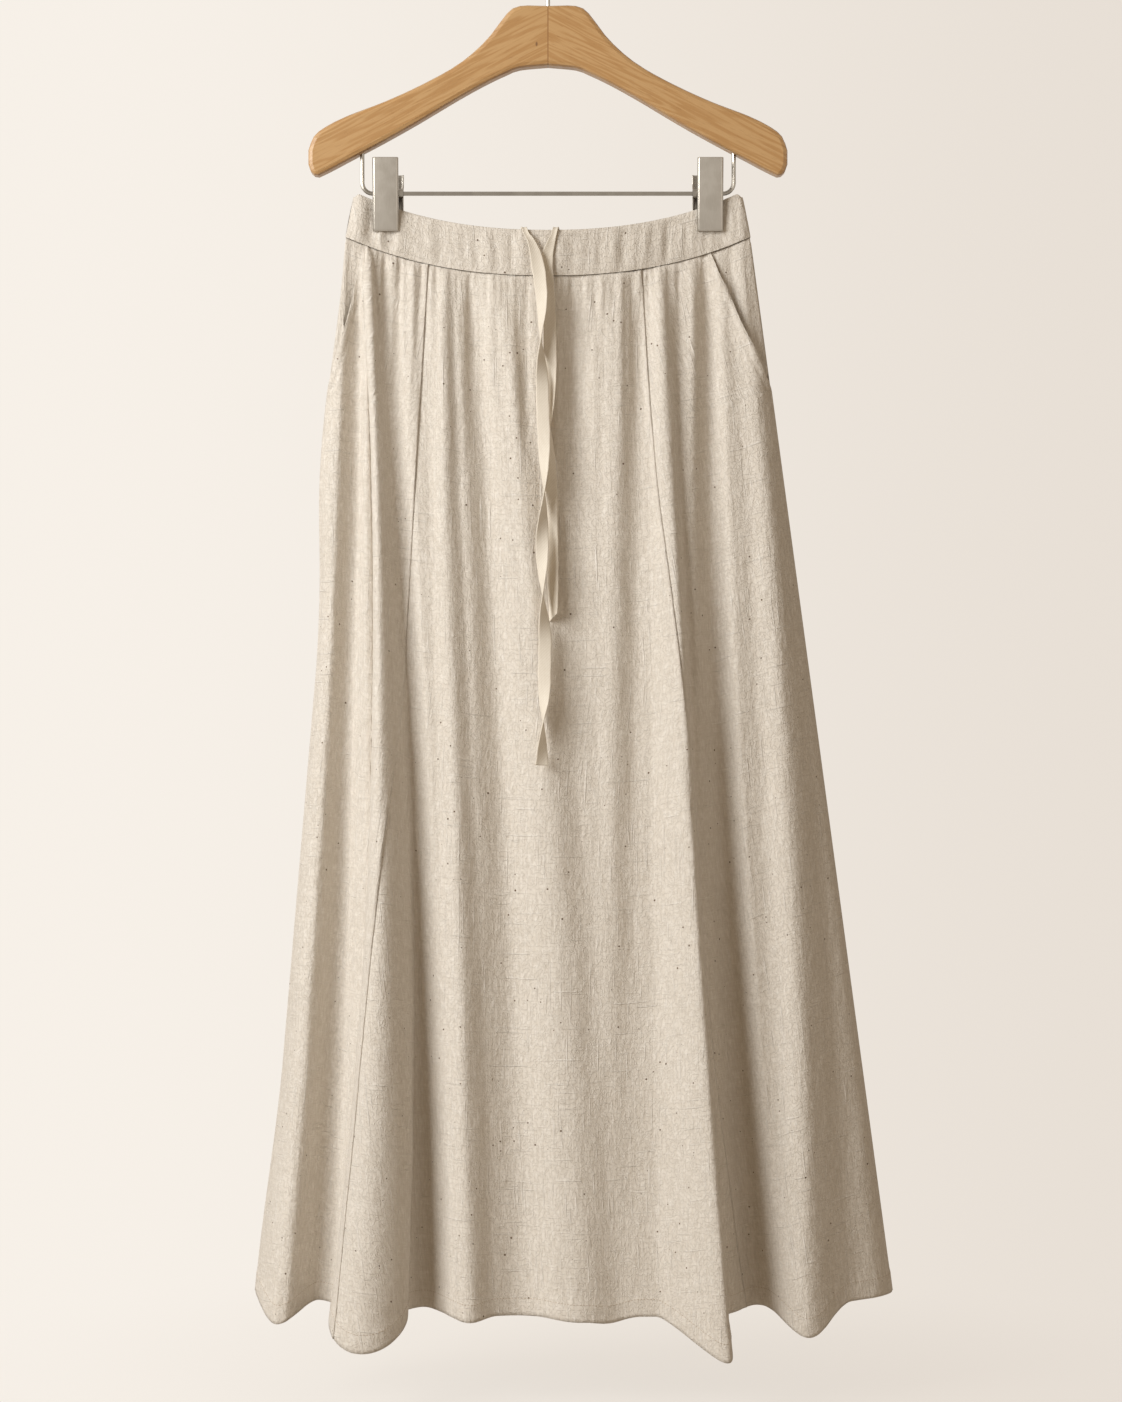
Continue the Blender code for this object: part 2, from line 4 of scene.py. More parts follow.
import bmesh
import bpy
import numpy as np
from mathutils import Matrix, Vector


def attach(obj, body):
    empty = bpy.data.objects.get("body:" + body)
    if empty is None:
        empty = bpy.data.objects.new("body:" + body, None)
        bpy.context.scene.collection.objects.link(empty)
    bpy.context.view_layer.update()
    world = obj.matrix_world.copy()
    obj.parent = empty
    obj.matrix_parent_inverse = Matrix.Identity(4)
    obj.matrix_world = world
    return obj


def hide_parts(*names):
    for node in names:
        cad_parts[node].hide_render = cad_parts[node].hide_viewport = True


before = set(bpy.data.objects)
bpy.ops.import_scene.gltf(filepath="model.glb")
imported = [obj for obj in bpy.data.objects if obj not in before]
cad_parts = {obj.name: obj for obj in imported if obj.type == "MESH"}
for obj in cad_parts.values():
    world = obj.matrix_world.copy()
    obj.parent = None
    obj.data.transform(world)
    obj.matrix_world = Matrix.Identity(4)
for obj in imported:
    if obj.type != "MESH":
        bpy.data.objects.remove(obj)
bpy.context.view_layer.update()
mm = 0.001  # the tables below are in millimetres

# the skirt's form, which follows the solids'
skirt = {
    "seamHalfWidth": 188,
    "hemHalfWidth": 295,
    "hemShift": 24,
    "seamHeight": -323,
    "hemHeight": -1276,
    "hemRise": 13,
    "waistRise": 37,
    "risePower": 2.2,
    "pinchedDepth": 4.2,
    "waistBulge": 10,
    "loopBulge": 4,
    "hemDepth": 74,
    "clipOffset": 150.4,
    "nipReach": 18,
    "leftHeldIn": 7.5,
    "leftSwing": 5,
    "seamGap": 0.3,
    "clothThickness": 0.9,
    "pocketEnd": 0.145,
}

# crests (and valleys, where the height is less than nothing) that run the whole length
Fold = namedtuple("Fold", "waist mid hem narrow wide top middle depth leanMid leanHem swell drop")
frontFolds = (
    Fold(-188, -216, -250, 10, 40, 1, 9, 21, 0, 0, 0, 20),
    Fold(-180, -186, -209, 10, 32, -3, -18, -26, 0, 0, 0, 0),
    Fold(-167, -152, -168, 4, 32, 4, 25, 44, -8, -6, 16, 32),
    Fold(-150, -125, -113, 12, 29, -4, -15, -36, 0, 0, 0, 0),
    Fold(-103, -85, -71, 13, 25, 4, 9, 14, 0, 0, 0, 4),
    Fold(-70, -42, -25, 16, 40, -7, -10, -10, 0, 0, 0, 0),
    Fold(-45, 2, 30, 12, 42, 4, 6, 9, 0, 0, 0, 3),
    Fold(24, 30, 36, 20, 26, -10, -1, 0, 0, 0, 0, 0),
    Fold(60, 61, 58, 13, 26, 3, 3, 0, 0, 0, 0, 4),
    Fold(86, 80, 74, 10, 36, -5, -3, -2, 0, 0, 0, 0),
    Fold(105, 128, 162, 12, 34, 4, 24, 40, 12, 30, 0, 36),
    Fold(148, 159, 191, 16, 28, -6, -22, -36, 0, 0, 0, 0),
    Fold(180, 221, 238, 18, 40, 2, 13, 22, 0, 0, 0, 24),
    Fold(188, 246, 284, 8, 20, 0, -1, -3, 0, 0, 0, 0),
)

backFolds = (
    Fold(-178, -206, -236, 12, 34, 1, 14, 24, 0, 0, 0, 18),
    Fold(-160, -176, -190, 14, 30, -2, -18, -28, 0, 0, 0, 0),
    Fold(-134, -138, -142, 16, 36, 3, 20, 30, -4, -8, 0, 22),
    Fold(-98, -96, -92, 16, 30, -3, -14, -20, 0, 0, 0, 0),
    Fold(-58, -50, -38, 18, 34, 3, 10, 18, 0, 0, 0, 8),
    Fold(-16, 2, 12, 16, 28, -3, -8, -16, 0, 0, 0, 0),
    Fold(34, 50, 66, 18, 34, 3, 14, 26, 4, 8, 0, 16),
    Fold(78, 100, 118, 16, 30, -3, -16, -26, 0, 0, 0, 0),
    Fold(120, 146, 172, 16, 34, 3, 18, 28, 0, 0, 0, 20),
    Fold(152, 186, 222, 14, 28, -2, -12, -20, 0, 0, 0, 0),
    Fold(178, 222, 266, 12, 28, 1, 8, 18, 0, 0, 0, 14),
)

# gathers that fade out below the waistband: place, drift as they fade, half widths, height, reach
Gather = namedtuple("Gather", "x drift narrow wide height reach crisp", defaults=(1,))
frontGathers = (
    Gather(-182, -4, 4, 6, -1.6, 0.1),
    Gather(-167, 1, 9, 15, 4.6, 0.62, 0.3),
    Gather(-176, -2, 5, 9, -2.6, 0.5),
    Gather(-152, 2, 4, 7, -2.0, 0.12),
    Gather(-145, 0, 5, 7, 1.6, 0.14),
    Gather(-137, -4, 4, 8, -2.4, 0.16),
    Gather(-125, 0, 6, 11, 2.6, 0.24),
    Gather(-117, 0, 3, 4, -1.6, 0.05),
    Gather(-104, 1, 5, 9, -1.6, 0.2),
    Gather(-95, 4, 7, 12, 2.2, 0.3),
    Gather(-84, 0, 3, 4, -1.1, 0.05),
    Gather(-72, 2, 5, 10, -1.5, 0.2),
    Gather(-60, 0, 3, 4, 0.9, 0.05),
    Gather(-51, -3, 5, 9, 1.5, 0.16),
    Gather(-42, 0, 3, 4, -0.9, 0.06),
    Gather(-32, 1, 5, 9, 1.3, 0.18),
    Gather(-20, 0, 6, 10, -1.6, 0.26),
    Gather(9, -4, 6, 9, 2.0, 0.3),
    Gather(22, 4, 6, 12, -1.9, 0.26),
    Gather(36, 0, 4, 5, 1.1, 0.07),
    Gather(43, 0, 3, 4, -0.9, 0.05),
    Gather(50, -2, 4, 6, 1.2, 0.09),
    Gather(67, 0, 6, 11, 2.0, 0.28),
    Gather(77, 6, 5, 9, -1.6, 0.2),
    Gather(84, -2, 3, 5, 1.0, 0.05),
    Gather(93, 1, 3, 5, -1.6, 0.1),
    Gather(104, 1, 8, 12, 2.4, 0.32),
    Gather(122, 0, 6, 9, -2.0, 0.22),
    Gather(134, 1, 6, 9, 2.0, 0.22),
    Gather(145, 6, 5, 9, -1.8, 0.2),
    Gather(157, 8, 6, 12, 1.4, 0.16),
    Gather(169, 4, 4, 7, -1.4, 0.09),
    Gather(179, 6, 5, 8, 1.2, 0.1),
)

# seams between gores: across the skirt at the waist seam, halfway and at the hem
Seam = namedtuple("Seam", "waist mid hem")
seams = {
    "frontLeft": Seam(-111, -139, -174),
    "frontRight": Seam(87, 124, 182),
    "backLeft": Seam(-100, -137, -144),
    "backRight": Seam(100, 145, 172),
}
mouthStarts = {"left": -171, "right": 151}


def smooth(low, high, value):
    share = np.clip((value - low) / (high - low), 0, 1)
    return share * share * (3 - 2 * share)


def mix(first, second, share):
    return first + (second - first) * share


def threeWay(first, middle, last, share):
    bend = 2 * first - 4 * middle + 2 * last
    return first + (last - first - bend) * share + bend * share * share


def bell(distance):
    return np.where(np.abs(distance) < 1, 0.5 + 0.5 * np.cos(np.pi * np.clip(distance, -1, 1)), 0)


def ripple(u, v, seed, wave, stretch, count=22):
    # uneven soft waves about one unit high, as long as stretch times their width
    rng = np.random.default_rng(seed)
    total = np.zeros(np.broadcast(u, v).shape)
    for _ in range(count):
        across = rng.uniform(0.5, 1.6) * rng.choice((-1, 1)) * math.tau / wave
        along = rng.normal(0, 0.6) * math.tau / (wave * stretch)
        total += rng.uniform(0.4, 1) * np.sin(across * u + along * v + rng.uniform(0, math.tau))
    return total / math.sqrt(count) * 1.3


def halfWidth(level):
    return mix(skirt["seamHalfWidth"], skirt["hemHalfWidth"], level)


def turnAt(x, level, onBack=False):
    # turn runs from 0 at the left side seam over the front to a half, and over the back to 1
    across = np.clip((x - skirt["hemShift"] * level) / halfWidth(level), -1, 1)
    front = 0.5 - np.arccos(across) / math.tau
    return 1 - front if onBack else front


def waistDepth(across):
    x = np.abs(across) * skirt["seamHalfWidth"]
    inner = np.minimum(1, x / (skirt["clipOffset"] - skirt["nipReach"]))
    loop = smooth(skirt["clipOffset"] + 14, skirt["seamHalfWidth"] - 6, x)
    bulge = skirt["waistBulge"] * (1 - inner * inner) ** 1.3
    return skirt["pinchedDepth"] + bulge + skirt["loopBulge"] * loop


def leftHang(level, across):
    # the left side swings out below the pocket and then hangs a little in
    heldIn = skirt["leftHeldIn"] * smooth(0.22, 0.42, level) * (1 - smooth(0.78, 1.0, level))
    swing = skirt["leftSwing"] * bell((level - 0.19) / 0.16)
    return (heldIn - swing) * smooth(0.75, 1.0, -across)


def skirtForm(turn, level):
    angle = math.pi - math.tau * turn
    across, out = np.cos(angle), np.abs(np.sin(angle))
    front = np.where(np.sin(angle) >= 0, -1.0, 1.0)
    x = skirt["hemShift"] * level + halfWidth(level) * across + leftHang(level, across)
    spread = 1 - np.exp(-9 * level)
    full = mix(0.32, 1, level) * skirt["hemDepth"] * out**0.75
    depth = mix(waistDepth(across) * out**0.4, full, spread)
    rise = np.abs(across) ** skirt["risePower"]
    z = mix(
        skirt["seamHeight"] + skirt["waistRise"] * rise,
        skirt["hemHeight"] + skirt["hemRise"] * rise,
        level,
    )
    sideFade = smooth(0.02, 0.4, out)
    startFade = smooth(-0.02, 0.06, level)
    movedX, movedY, movedZ = np.zeros_like(x), np.zeros_like(x), np.zeros_like(x)
    for side, folds in ((-1.0, frontFolds), (1.0, backFolds)):
        for fold in folds:
            lean = threeWay(0, fold.leanMid, fold.leanHem, level)
            crest = threeWay(fold.waist, fold.mid, fold.hem, level) - lean
            away = (x - crest) / mix(fold.narrow, fold.wide, level)
            here = sideFade * (front == side)
            height = bell(away) * here
            stand = threeWay(fold.top, fold.middle, fold.depth, level) * startFade
            flank = np.where(np.abs(away) < 1, np.sin(np.pi * away), 0) * here
            movedX += height * lean + flank * fold.swell * level * level
            movedY += height * side * stand
            movedZ -= height * fold.drop * level * level
    return np.stack([x + movedX, front * depth + movedY, z + movedZ], axis=-1)


def seamTurn(name, level, onBack=False):
    seam = seams[name]
    return turnAt(threeWay(seam.waist, seam.mid, seam.hem, level), level, onBack)


def mouthTurn(side, level):
    # the slant pocket mouth, from the waist seam to the side seam, and then the side seam itself
    start = mouthStarts[side]
    end = skirt["pocketEnd"]
    edge = skirt["hemShift"] * end + math.copysign(halfWidth(end), start)
    mouth = turnAt(mix(start, edge, np.minimum(level, end) / end), level)
    return np.where(level >= end, 0.5 if start > 0 else 0.0, mouth)


def addNode(tree, kind, **values):
    node = tree.nodes.new(kind)
    for name, value in values.items():
        if hasattr(node, name):
            setattr(node, name, value)
        else:
            node.inputs[name.replace("_", " ")].default_value = value
    return node


def maths(tree, operation, first, second=None, clamp=False):
    node = tree.nodes.new("ShaderNodeMath")
    node.operation = operation
    node.use_clamp = clamp
    for socket, value in zip(node.inputs, (first, second)):
        if isinstance(value, (int, float)):
            socket.default_value = value
        elif value is not None:
            tree.links.new(value, socket)
    return node.outputs[0]


def plus(tree, first, second):
    return maths(tree, "ADD", first, second)


def times(tree, first, second):
    return maths(tree, "MULTIPLY", first, second)


def remap(tree, value, low, high, newLow=0.0, newHigh=1.0):
    node = addNode(tree, "ShaderNodeMapRange", interpolation_type="SMOOTHSTEP")
    tree.links.new(value, node.inputs["Value"])
    names = ("From Min", "From Max", "To Min", "To Max")
    for name, number in zip(names, (low, high, newLow, newHigh)):
        node.inputs[name].default_value = number
    return node.outputs["Result"]


def stretched(tree, vector, across, along, detail=3.0, depth=1.0):
    # noise whose cells are so many to a metre across, along and through the cloth
    scaled = addNode(tree, "ShaderNodeVectorMath", operation="MULTIPLY")
    scaled.inputs[1].default_value = (across, along, depth)
    tree.links.new(vector, scaled.inputs[0])
    noise = addNode(tree, "ShaderNodeTexNoise", Scale=1.0, Detail=detail, Roughness=0.55)
    tree.links.new(scaled.outputs[0], noise.inputs["Vector"])
    return noise.outputs["Fac"]


def newGroup(name, inputs, outputs):
    group = bpy.data.node_groups.new(name, "ShaderNodeTree")
    for label, kind, value in inputs:
        socket = group.interface.new_socket(label, in_out="INPUT", socket_type=kind)
        if value is not None:
            socket.default_value = value
    for label, kind in outputs:
        group.interface.new_socket(label, in_out="OUTPUT", socket_type=kind)
    return group, group.nodes.new("NodeGroupInput"), group.nodes.new("NodeGroupOutput")


def clothThreads():
    # woven threads, thick slubs, curly crinkles and dark specks, read in metres along the cloth
    group, source, result = newGroup(
        "clothThreads",
        [
            ("Cloth", "NodeSocketVector", None),
            ("Slubs", "NodeSocketFloat", 1.0),
            ("Crinkle", "NodeSocketFloat", 1.0),
        ],
        [
            ("Height", "NodeSocketFloat"),
            ("Tone", "NodeSocketFloat"),
            ("Specks", "NodeSocketFloat"),
        ],
    )
    place = source.outputs["Cloth"]
    warp = stretched(group, place, 900, 60, 2.0)
    weft = stretched(group, place, 70, 800, 2.0)
    crinkle = stretched(group, place, 330, 120, 3.0)
    longSlub = remap(group, stretched(group, place, 480, 16, 1.0), 0.64, 0.76)
    crossSlub = remap(group, stretched(group, place, 18, 420, 1.0), 0.65, 0.77)
    slubs = maths(group, "MAXIMUM", longSlub, crossSlub)
    slubs = times(group, slubs, source.outputs["Slubs"])
    threads = plus(group, times(group, warp, 0.5), times(group, weft, 0.35))
    crinkled = times(group, crinkle, source.outputs["Crinkle"])
    curls = maths(group, "SUBTRACT", stretched(group, place, 210, 210, 1.5), 0.5)
    curls = maths(group, "ABSOLUTE", curls)
    curls = remap(group, curls, 0.0, 0.035, 0.34, 0.0)
    crinkled = plus(group, crinkled, times(group, curls, source.outputs["Crinkle"]))
    height = plus(group, times(group, threads, 0.55), crinkled)
    height = plus(group, height, times(group, slubs, 0.5))
    group.links.new(height, result.inputs["Height"])
    tone = plus(group, times(group, threads, 0.7), times(group, crinkle, 0.45))
    tone = plus(group, tone, times(group, slubs, 0.1))
    group.links.new(remap(group, tone, 0.4, 0.86), result.inputs["Tone"])
    cells = addNode(group, "ShaderNodeTexVoronoi", Scale=150.0, Randomness=1.0)
    group.links.new(place, cells.inputs["Vector"])
    picked = addNode(group, "ShaderNodeSeparateColor")
    group.links.new(cells.outputs["Color"], picked.inputs["Color"])
    size = remap(group, picked.outputs["Red"], 0.68, 1.0, 0.0, 0.15)
    speck = maths(group, "SUBTRACT", size, cells.outputs["Distance"])
    group.links.new(remap(group, speck, 0.0, 0.03), result.inputs["Specks"])
    return group


def surfaceHeight(tree, shader, height, strength, distance):
    bump = addNode(tree, "ShaderNodeBump", Strength=strength, Distance=distance)
    tree.links.new(height, bump.inputs["Height"])
    tree.links.new(bump.outputs["Normal"], shader.inputs["Normal"])


def newMaterial(name, **values):
    made = bpy.data.materials.new(name)
    made.use_nodes = True
    shader = made.node_tree.nodes["Principled BSDF"]
    for label, value in values.items():
        shader.inputs[label.replace("_", " ")].default_value = value
    return made, made.node_tree, shader


def blended(tree, share, first, second):
    node = addNode(tree, "ShaderNodeMix", data_type="RGBA")
    for socket, value in ((node.inputs[0], share), (node.inputs[6], first), (node.inputs[7], second)):
        if isinstance(value, (float, int)):
            socket.default_value = value
        elif isinstance(value, tuple):
            socket.default_value = (*value, 1)
        else:
            tree.links.new(value, socket)
    return node.outputs[2]


linenLook = {
    "pale": (0.90, 0.855, 0.79),
    "deep": (0.68, 0.62, 0.54),
    "speck": (0.13, 0.08, 0.045),
    "bump": 0.8,
    "bumpDepth": 0.0012,
}


def makeLinen(threads):
    made, tree, shader = newMaterial(
        "linen", Roughness=0.95, Sheen_Weight=0.1, Sheen_Roughness=0.5, Specular_IOR_Level=0.2
    )
    place = addNode(tree, "ShaderNodeUVMap", uv_map="clothMap").outputs["UV"]
    cloth = addNode(tree, "ShaderNodeGroup", node_tree=threads)
    cloth.inputs["Slubs"].default_value = 1.0
    cloth.inputs["Crinkle"].default_value = 0.9
    tree.links.new(place, cloth.inputs["Cloth"])
    broad = remap(tree, stretched(tree, place, 40, 12, 3.0), 0.3, 0.7, -0.06, 0.06)
    tone = maths(tree, "ADD", cloth.outputs["Tone"], broad, clamp=True)
    colour = blended(tree, tone, linenLook["deep"], linenLook["pale"])
    colour = blended(tree, cloth.outputs["Specks"], colour, linenLook["speck"])
    tree.links.new(colour, shader.inputs["Base Color"])
    surfaceHeight(tree, shader, cloth.outputs["Height"], linenLook["bump"], linenLook["bumpDepth"])
    return made


tapeLook = {
    "pale": (0.86, 0.80, 0.71),
    "deep": (0.72, 0.65, 0.54),
    "ribs": 1400.0,
    "bump": 0.4,
    "bumpDepth": 0.0003,
}


def makeTapeCloth(threads):
    # fine slanting ribs of a woven tape
    made, tree, shader = newMaterial("tape", Roughness=0.8, Sheen_Weight=0.15, Sheen_Roughness=0.4)
    place = addNode(tree, "ShaderNodeUVMap", uv_map="clothMap").outputs["UV"]
    cloth = addNode(tree, "ShaderNodeGroup", node_tree=threads)
    cloth.inputs["Slubs"].default_value = 0.1
    cloth.inputs["Crinkle"].default_value = 0.2
    tree.links.new(place, cloth.inputs["Cloth"])
    ribs = addNode(tree, "ShaderNodeTexWave", bands_direction="DIAGONAL", Scale=tapeLook["ribs"] / 6.28)
    ribs.inputs["Distortion"].default_value = 0.6
    tree.links.new(place, ribs.inputs["Vector"])
    height = plus(tree, cloth.outputs["Height"], times(tree, ribs.outputs["Fac"], 0.5))
    tone = plus(tree, times(tree, cloth.outputs["Tone"], 0.6), times(tree, ribs.outputs["Fac"], 0.3))
    tree.links.new(blended(tree, tone, tapeLook["deep"], tapeLook["pale"]), shader.inputs["Base Color"])
    surfaceHeight(tree, shader, height, tapeLook["bump"], tapeLook["bumpDepth"])
    return made


woodLook = {
    "pale": (0.55, 0.335, 0.145),
    "mid": (0.44, 0.235, 0.082),
    "dark": (0.29, 0.135, 0.04),
    "armSlope": 0.5,
    "scar": (-0.0105, -0.108),
    "scarTone": (0.10, 0.04, 0.015),
}


def makeWood():
    # the two halves are mirrored about a glue line, with the grain along each arm
    made, tree, shader = newMaterial("beech", Roughness=0.42, Coat_Weight=0.15, Coat_Roughness=0.3)
    place = addNode(tree, "ShaderNodeTexCoord").outputs["Object"]
    parts = addNode(tree, "ShaderNodeSeparateXYZ")
    tree.links.new(place, parts.inputs[0])
    x, y, z = parts.outputs
    out = maths(tree, "ABSOLUTE", x)
    slope = woodLook["armSlope"]
    along = maths(tree, "SUBTRACT", out, times(tree, z, slope))
    across = plus(tree, z, times(tree, out, slope))
    side = times(tree, maths(tree, "GREATER_THAN", x, 0.0), 0.7)
    grainPlace = addNode(tree, "ShaderNodeCombineXYZ")
    tree.links.new(plus(tree, along, side), grainPlace.inputs[0])
    tree.links.new(across, grainPlace.inputs[1])
    tree.links.new(y, grainPlace.inputs[2])
    grain = grainPlace.outputs[0]
    figure = stretched(tree, grain, 5, 75, 3.0, 40.0)
    fibres = stretched(tree, grain, 28, 900, 3.0, 500.0)
    pores = remap(tree, stretched(tree, grain, 90, 1500, 1.0, 900.0), 0.64, 0.74)
    ringPhase = plus(tree, times(tree, figure, 46.0), times(tree, across, 160.0))
    bands = remap(tree, maths(tree, "SINE", ringPhase), -1.0, 1.0)
    tone = plus(tree, times(tree, bands, 0.45), times(tree, fibres, 0.6))
    colour = blended(tree, remap(tree, tone, 0.15, 0.95), woodLook["mid"], woodLook["pale"])
    colour = blended(tree, times(tree, pores, 0.45), colour, woodLook["dark"])
    glue = remap(tree, out, 0.0004, 0.0009, 0.75, 0.0)
    colour = blended(tree, glue, colour, woodLook["dark"])
    scarX = maths(tree, "SUBTRACT", x, woodLook["scar"][0])
    scarZ = times(tree, maths(tree, "SUBTRACT", z, woodLook["scar"][1]), 0.5)
    scarAway = plus(tree, maths(tree, "POWER", scarX, 2.0), maths(tree, "POWER", scarZ, 2.0))
    scarAway = maths(tree, "SQRT", scarAway)
    colour = blended(tree, remap(tree, scarAway, 0.0005, 0.0014, 0.7, 0.0), colour, woodLook["scarTone"])
    tree.links.new(colour, shader.inputs["Base Color"])
    height = maths(tree, "SUBTRACT", times(tree, fibres, 0.6), pores)
    surfaceHeight(tree, shader, height, 0.25, 0.0002)
    rough = remap(tree, fibres, 0.3, 0.7, 0.36, 0.5)
    tree.links.new(rough, shader.inputs["Roughness"])
    return made


def finelyBrushed():
    # hair lines and light cloudiness on metal, for the wire and the pressed plates
    group, source, result = newGroup(
        "finelyBrushed",
        [
            ("Place", "NodeSocketVector", None),
            ("Across", "NodeSocketFloat", 1500.0),
            ("Along", "NodeSocketFloat", 60.0),
        ],
        [
            ("Lines", "NodeSocketFloat"),
            ("Clouds", "NodeSocketFloat"),
        ],
    )
    scale = addNode(group, "ShaderNodeCombineXYZ")
    group.links.new(source.outputs["Across"], scale.inputs[0])
    group.links.new(source.outputs["Across"], scale.inputs[1])
    group.links.new(source.outputs["Along"], scale.inputs[2])
    scaled = addNode(group, "ShaderNodeVectorMath", operation="MULTIPLY")
    group.links.new(source.outputs["Place"], scaled.inputs[0])
    group.links.new(scale.outputs[0], scaled.inputs[1])
    lines = addNode(group, "ShaderNodeTexNoise", Scale=1.0, Detail=2.0)
    group.links.new(scaled.outputs[0], lines.inputs["Vector"])
    clouds = addNode(group, "ShaderNodeTexNoise", Scale=70.0, Detail=3.0)
    group.links.new(source.outputs["Place"], clouds.inputs["Vector"])
    group.links.new(lines.outputs["Fac"], result.inputs["Lines"])
    group.links.new(clouds.outputs["Fac"], result.inputs["Clouds"])
    return group


metalLooks = {
    "wireSteel": {
        "dark": (0.28, 0.255, 0.22),
        "pale": (0.33, 0.305, 0.265),
        "rough": (0.24, 0.29),
        "across": 60.0,
        "along": 60.0,
        "bump": 0.0,
    },
    "plateSteel": {
        "dark": (0.41, 0.378, 0.33),
        "pale": (0.45, 0.418, 0.37),
        "rough": (0.3, 0.36),
        "across": 1500.0,
        "along": 60.0,
        "bump": 0.03,
    },
}


def makeMetal(name, brushed):
    look = metalLooks[name]
    made, tree, shader = newMaterial(name, Metallic=1.0)
    place = addNode(tree, "ShaderNodeTexCoord").outputs["Object"]
    finish = addNode(tree, "ShaderNodeGroup", node_tree=brushed)
    finish.inputs["Across"].default_value = look["across"]
    finish.inputs["Along"].default_value = look["along"]
    tree.links.new(place, finish.inputs["Place"])
    lines, clouds = finish.outputs["Lines"], finish.outputs["Clouds"]
    share = remap(tree, plus(tree, times(tree, lines, 0.5), times(tree, clouds, 0.5)), 0.35, 0.65)
    tree.links.new(blended(tree, share, look["dark"], look["pale"]), shader.inputs["Base Color"])
    tree.links.new(remap(tree, clouds, 0.3, 0.7, *look["rough"]), shader.inputs["Roughness"])
    surfaceHeight(tree, shader, lines, look["bump"], 0.0001)
    return made


threads = clothThreads()
brushed = finelyBrushed()
linen = makeLinen(threads)
tapeCloth = makeTapeCloth(threads)
beech = makeWood()
wireSteel = makeMetal("wireSteel", brushed)
plateSteel = makeMetal("plateSteel", brushed)
print("materials made")


# a cloth piece is a grid of points, with rows down the cloth and columns around it
def makeGrid(name, points, uv, material, closed=False, thickness=0.0, flip=False):
    rows, columns = points.shape[:2]
    mesh = bpy.data.meshes.new(name)
    index = np.arange(rows * columns).reshape(rows, columns)
    right = np.roll(index, -1, axis=1) if closed else index[:, 1:]
    left = index if closed else index[:, :-1]
    corners = [left[:-1], left[1:], right[1:], right[:-1]]
    if flip:
        corners.reverse()
    faces = np.stack(corners, axis=-1).reshape(-1, 4)
    mesh.from_pydata((points.reshape(-1, 3) * mm).tolist(), [], faces.tolist())
    layer = mesh.uv_layers.new(name="clothMap")
    around = uv.reshape(-1, 2)[faces.reshape(-1)] * mm
    layer.data.foreach_set("uv", around.reshape(-1).astype(np.float32))
    mesh.polygons.foreach_set("use_smooth", np.ones(len(faces), dtype=bool))
    mesh.materials.append(material)
    piece = bpy.data.objects.new(name, mesh)
    bpy.context.collection.objects.link(piece)
    if thickness:
        shell = piece.modifiers.new("thickness", "SOLIDIFY")
        shell.thickness = thickness * mm
        shell.offset = -1
    return piece


def settle(piece):
    # turn the piece's modifiers into plain mesh
    finished = piece.evaluated_get(bpy.context.evaluated_depsgraph_get())
    shaped = bpy.data.meshes.new_from_object(finished)
    old = piece.data
    piece.modifiers.clear()
    piece.data = shaped
    shaped.name = piece.name
    bpy.data.meshes.remove(old)


def joined(name, pieces):
    bpy.ops.object.select_all(action="DESELECT")
    for piece in pieces:
        piece.select_set(True)
    bpy.context.view_layer.objects.active = pieces[0]
    bpy.ops.object.join()
    piece = bpy.context.view_layer.objects.active
    piece.name = name
    piece.data.name = name
    piece.select_set(False)
    return piece


def outward(points):
    down = np.gradient(points, axis=0)
    around = np.gradient(points, axis=1)
    normal = np.cross(down, around)
    return normal / np.linalg.norm(normal, axis=-1, keepdims=True)


def lengthsBetween(points, axis):
    steps = np.linalg.norm(np.diff(points, axis=axis), axis=-1)
    shape = list(points.shape[:2])
    shape[axis] = 1
    return np.concatenate([np.zeros(shape), np.cumsum(steps, axis=axis)], axis=axis)


def flatSize(points):
    # the width and length of the flat cloth, and its area, all in metres
    wide = lengthsBetween(points, 1)[:, -1] * mm
    tall = lengthsBetween(points, 0)[-1, :] * mm
    area = float((wide[1:] + wide[:-1]).mean() / 2 * tall.mean())
    return (float(wide.max()), float(tall.max())), area


# millimetres, and a Share is a part of the skirt's length
detail = {
    "crumple": 0.2,
    "crinkle": 0.09,
    "tinyPleats": 0.75,
    "tinyPleatShare": 0.028,
    "seamLap": 0.9,
    "seamWidth": 7,
    "seamGroove": 0.35,
    "edgeCalm": 0.85,
    "hemFold": 19,
    "hemStep": 0.45,
    "hemPucker": 0.22,
    "underlap": 1.2,
    "waistTuck": 1.1,
    "waistTuckShare": 0.006,
    "mouthReach": 18,
}


def gathersAt(x, level, gathers):
    height = np.zeros_like(x)
    for gather in gathers:
        share = np.clip(level / gather.reach, 0, 1.2)
        half = mix(gather.narrow, gather.wide, share)
        fade = smooth(-0.004, 0.012, level) * (1 - smooth(0.4, 1.0, share))
        away = x - gather.x - gather.drift * share
        height += bell(away / np.where(away < 0, half * gather.crisp, half)) * gather.height * fade
    return height


def backGathers(seed=11):
    rng = np.random.default_rng(seed)
    made, x = [], -176.0
    while x < 178:
        small = rng.uniform() < 0.35
        height = rng.uniform(1.6, 2.4) if small else rng.uniform(2.6, 4.2)
        reach = rng.uniform(0.06, 0.14) if small else rng.uniform(0.24, 0.46)
        sign = -1 if len(made) % 2 else 1
        narrow = rng.uniform(3, 4.5) if small else rng.uniform(5, 7)
        drift = rng.uniform(-4, 6)
        wide = narrow * rng.uniform(1.3, 1.9)
        made.append(Gather(x, drift, narrow, wide, sign * height, reach))
        x += narrow * rng.uniform(1.5, 2.3)
    return tuple(made)


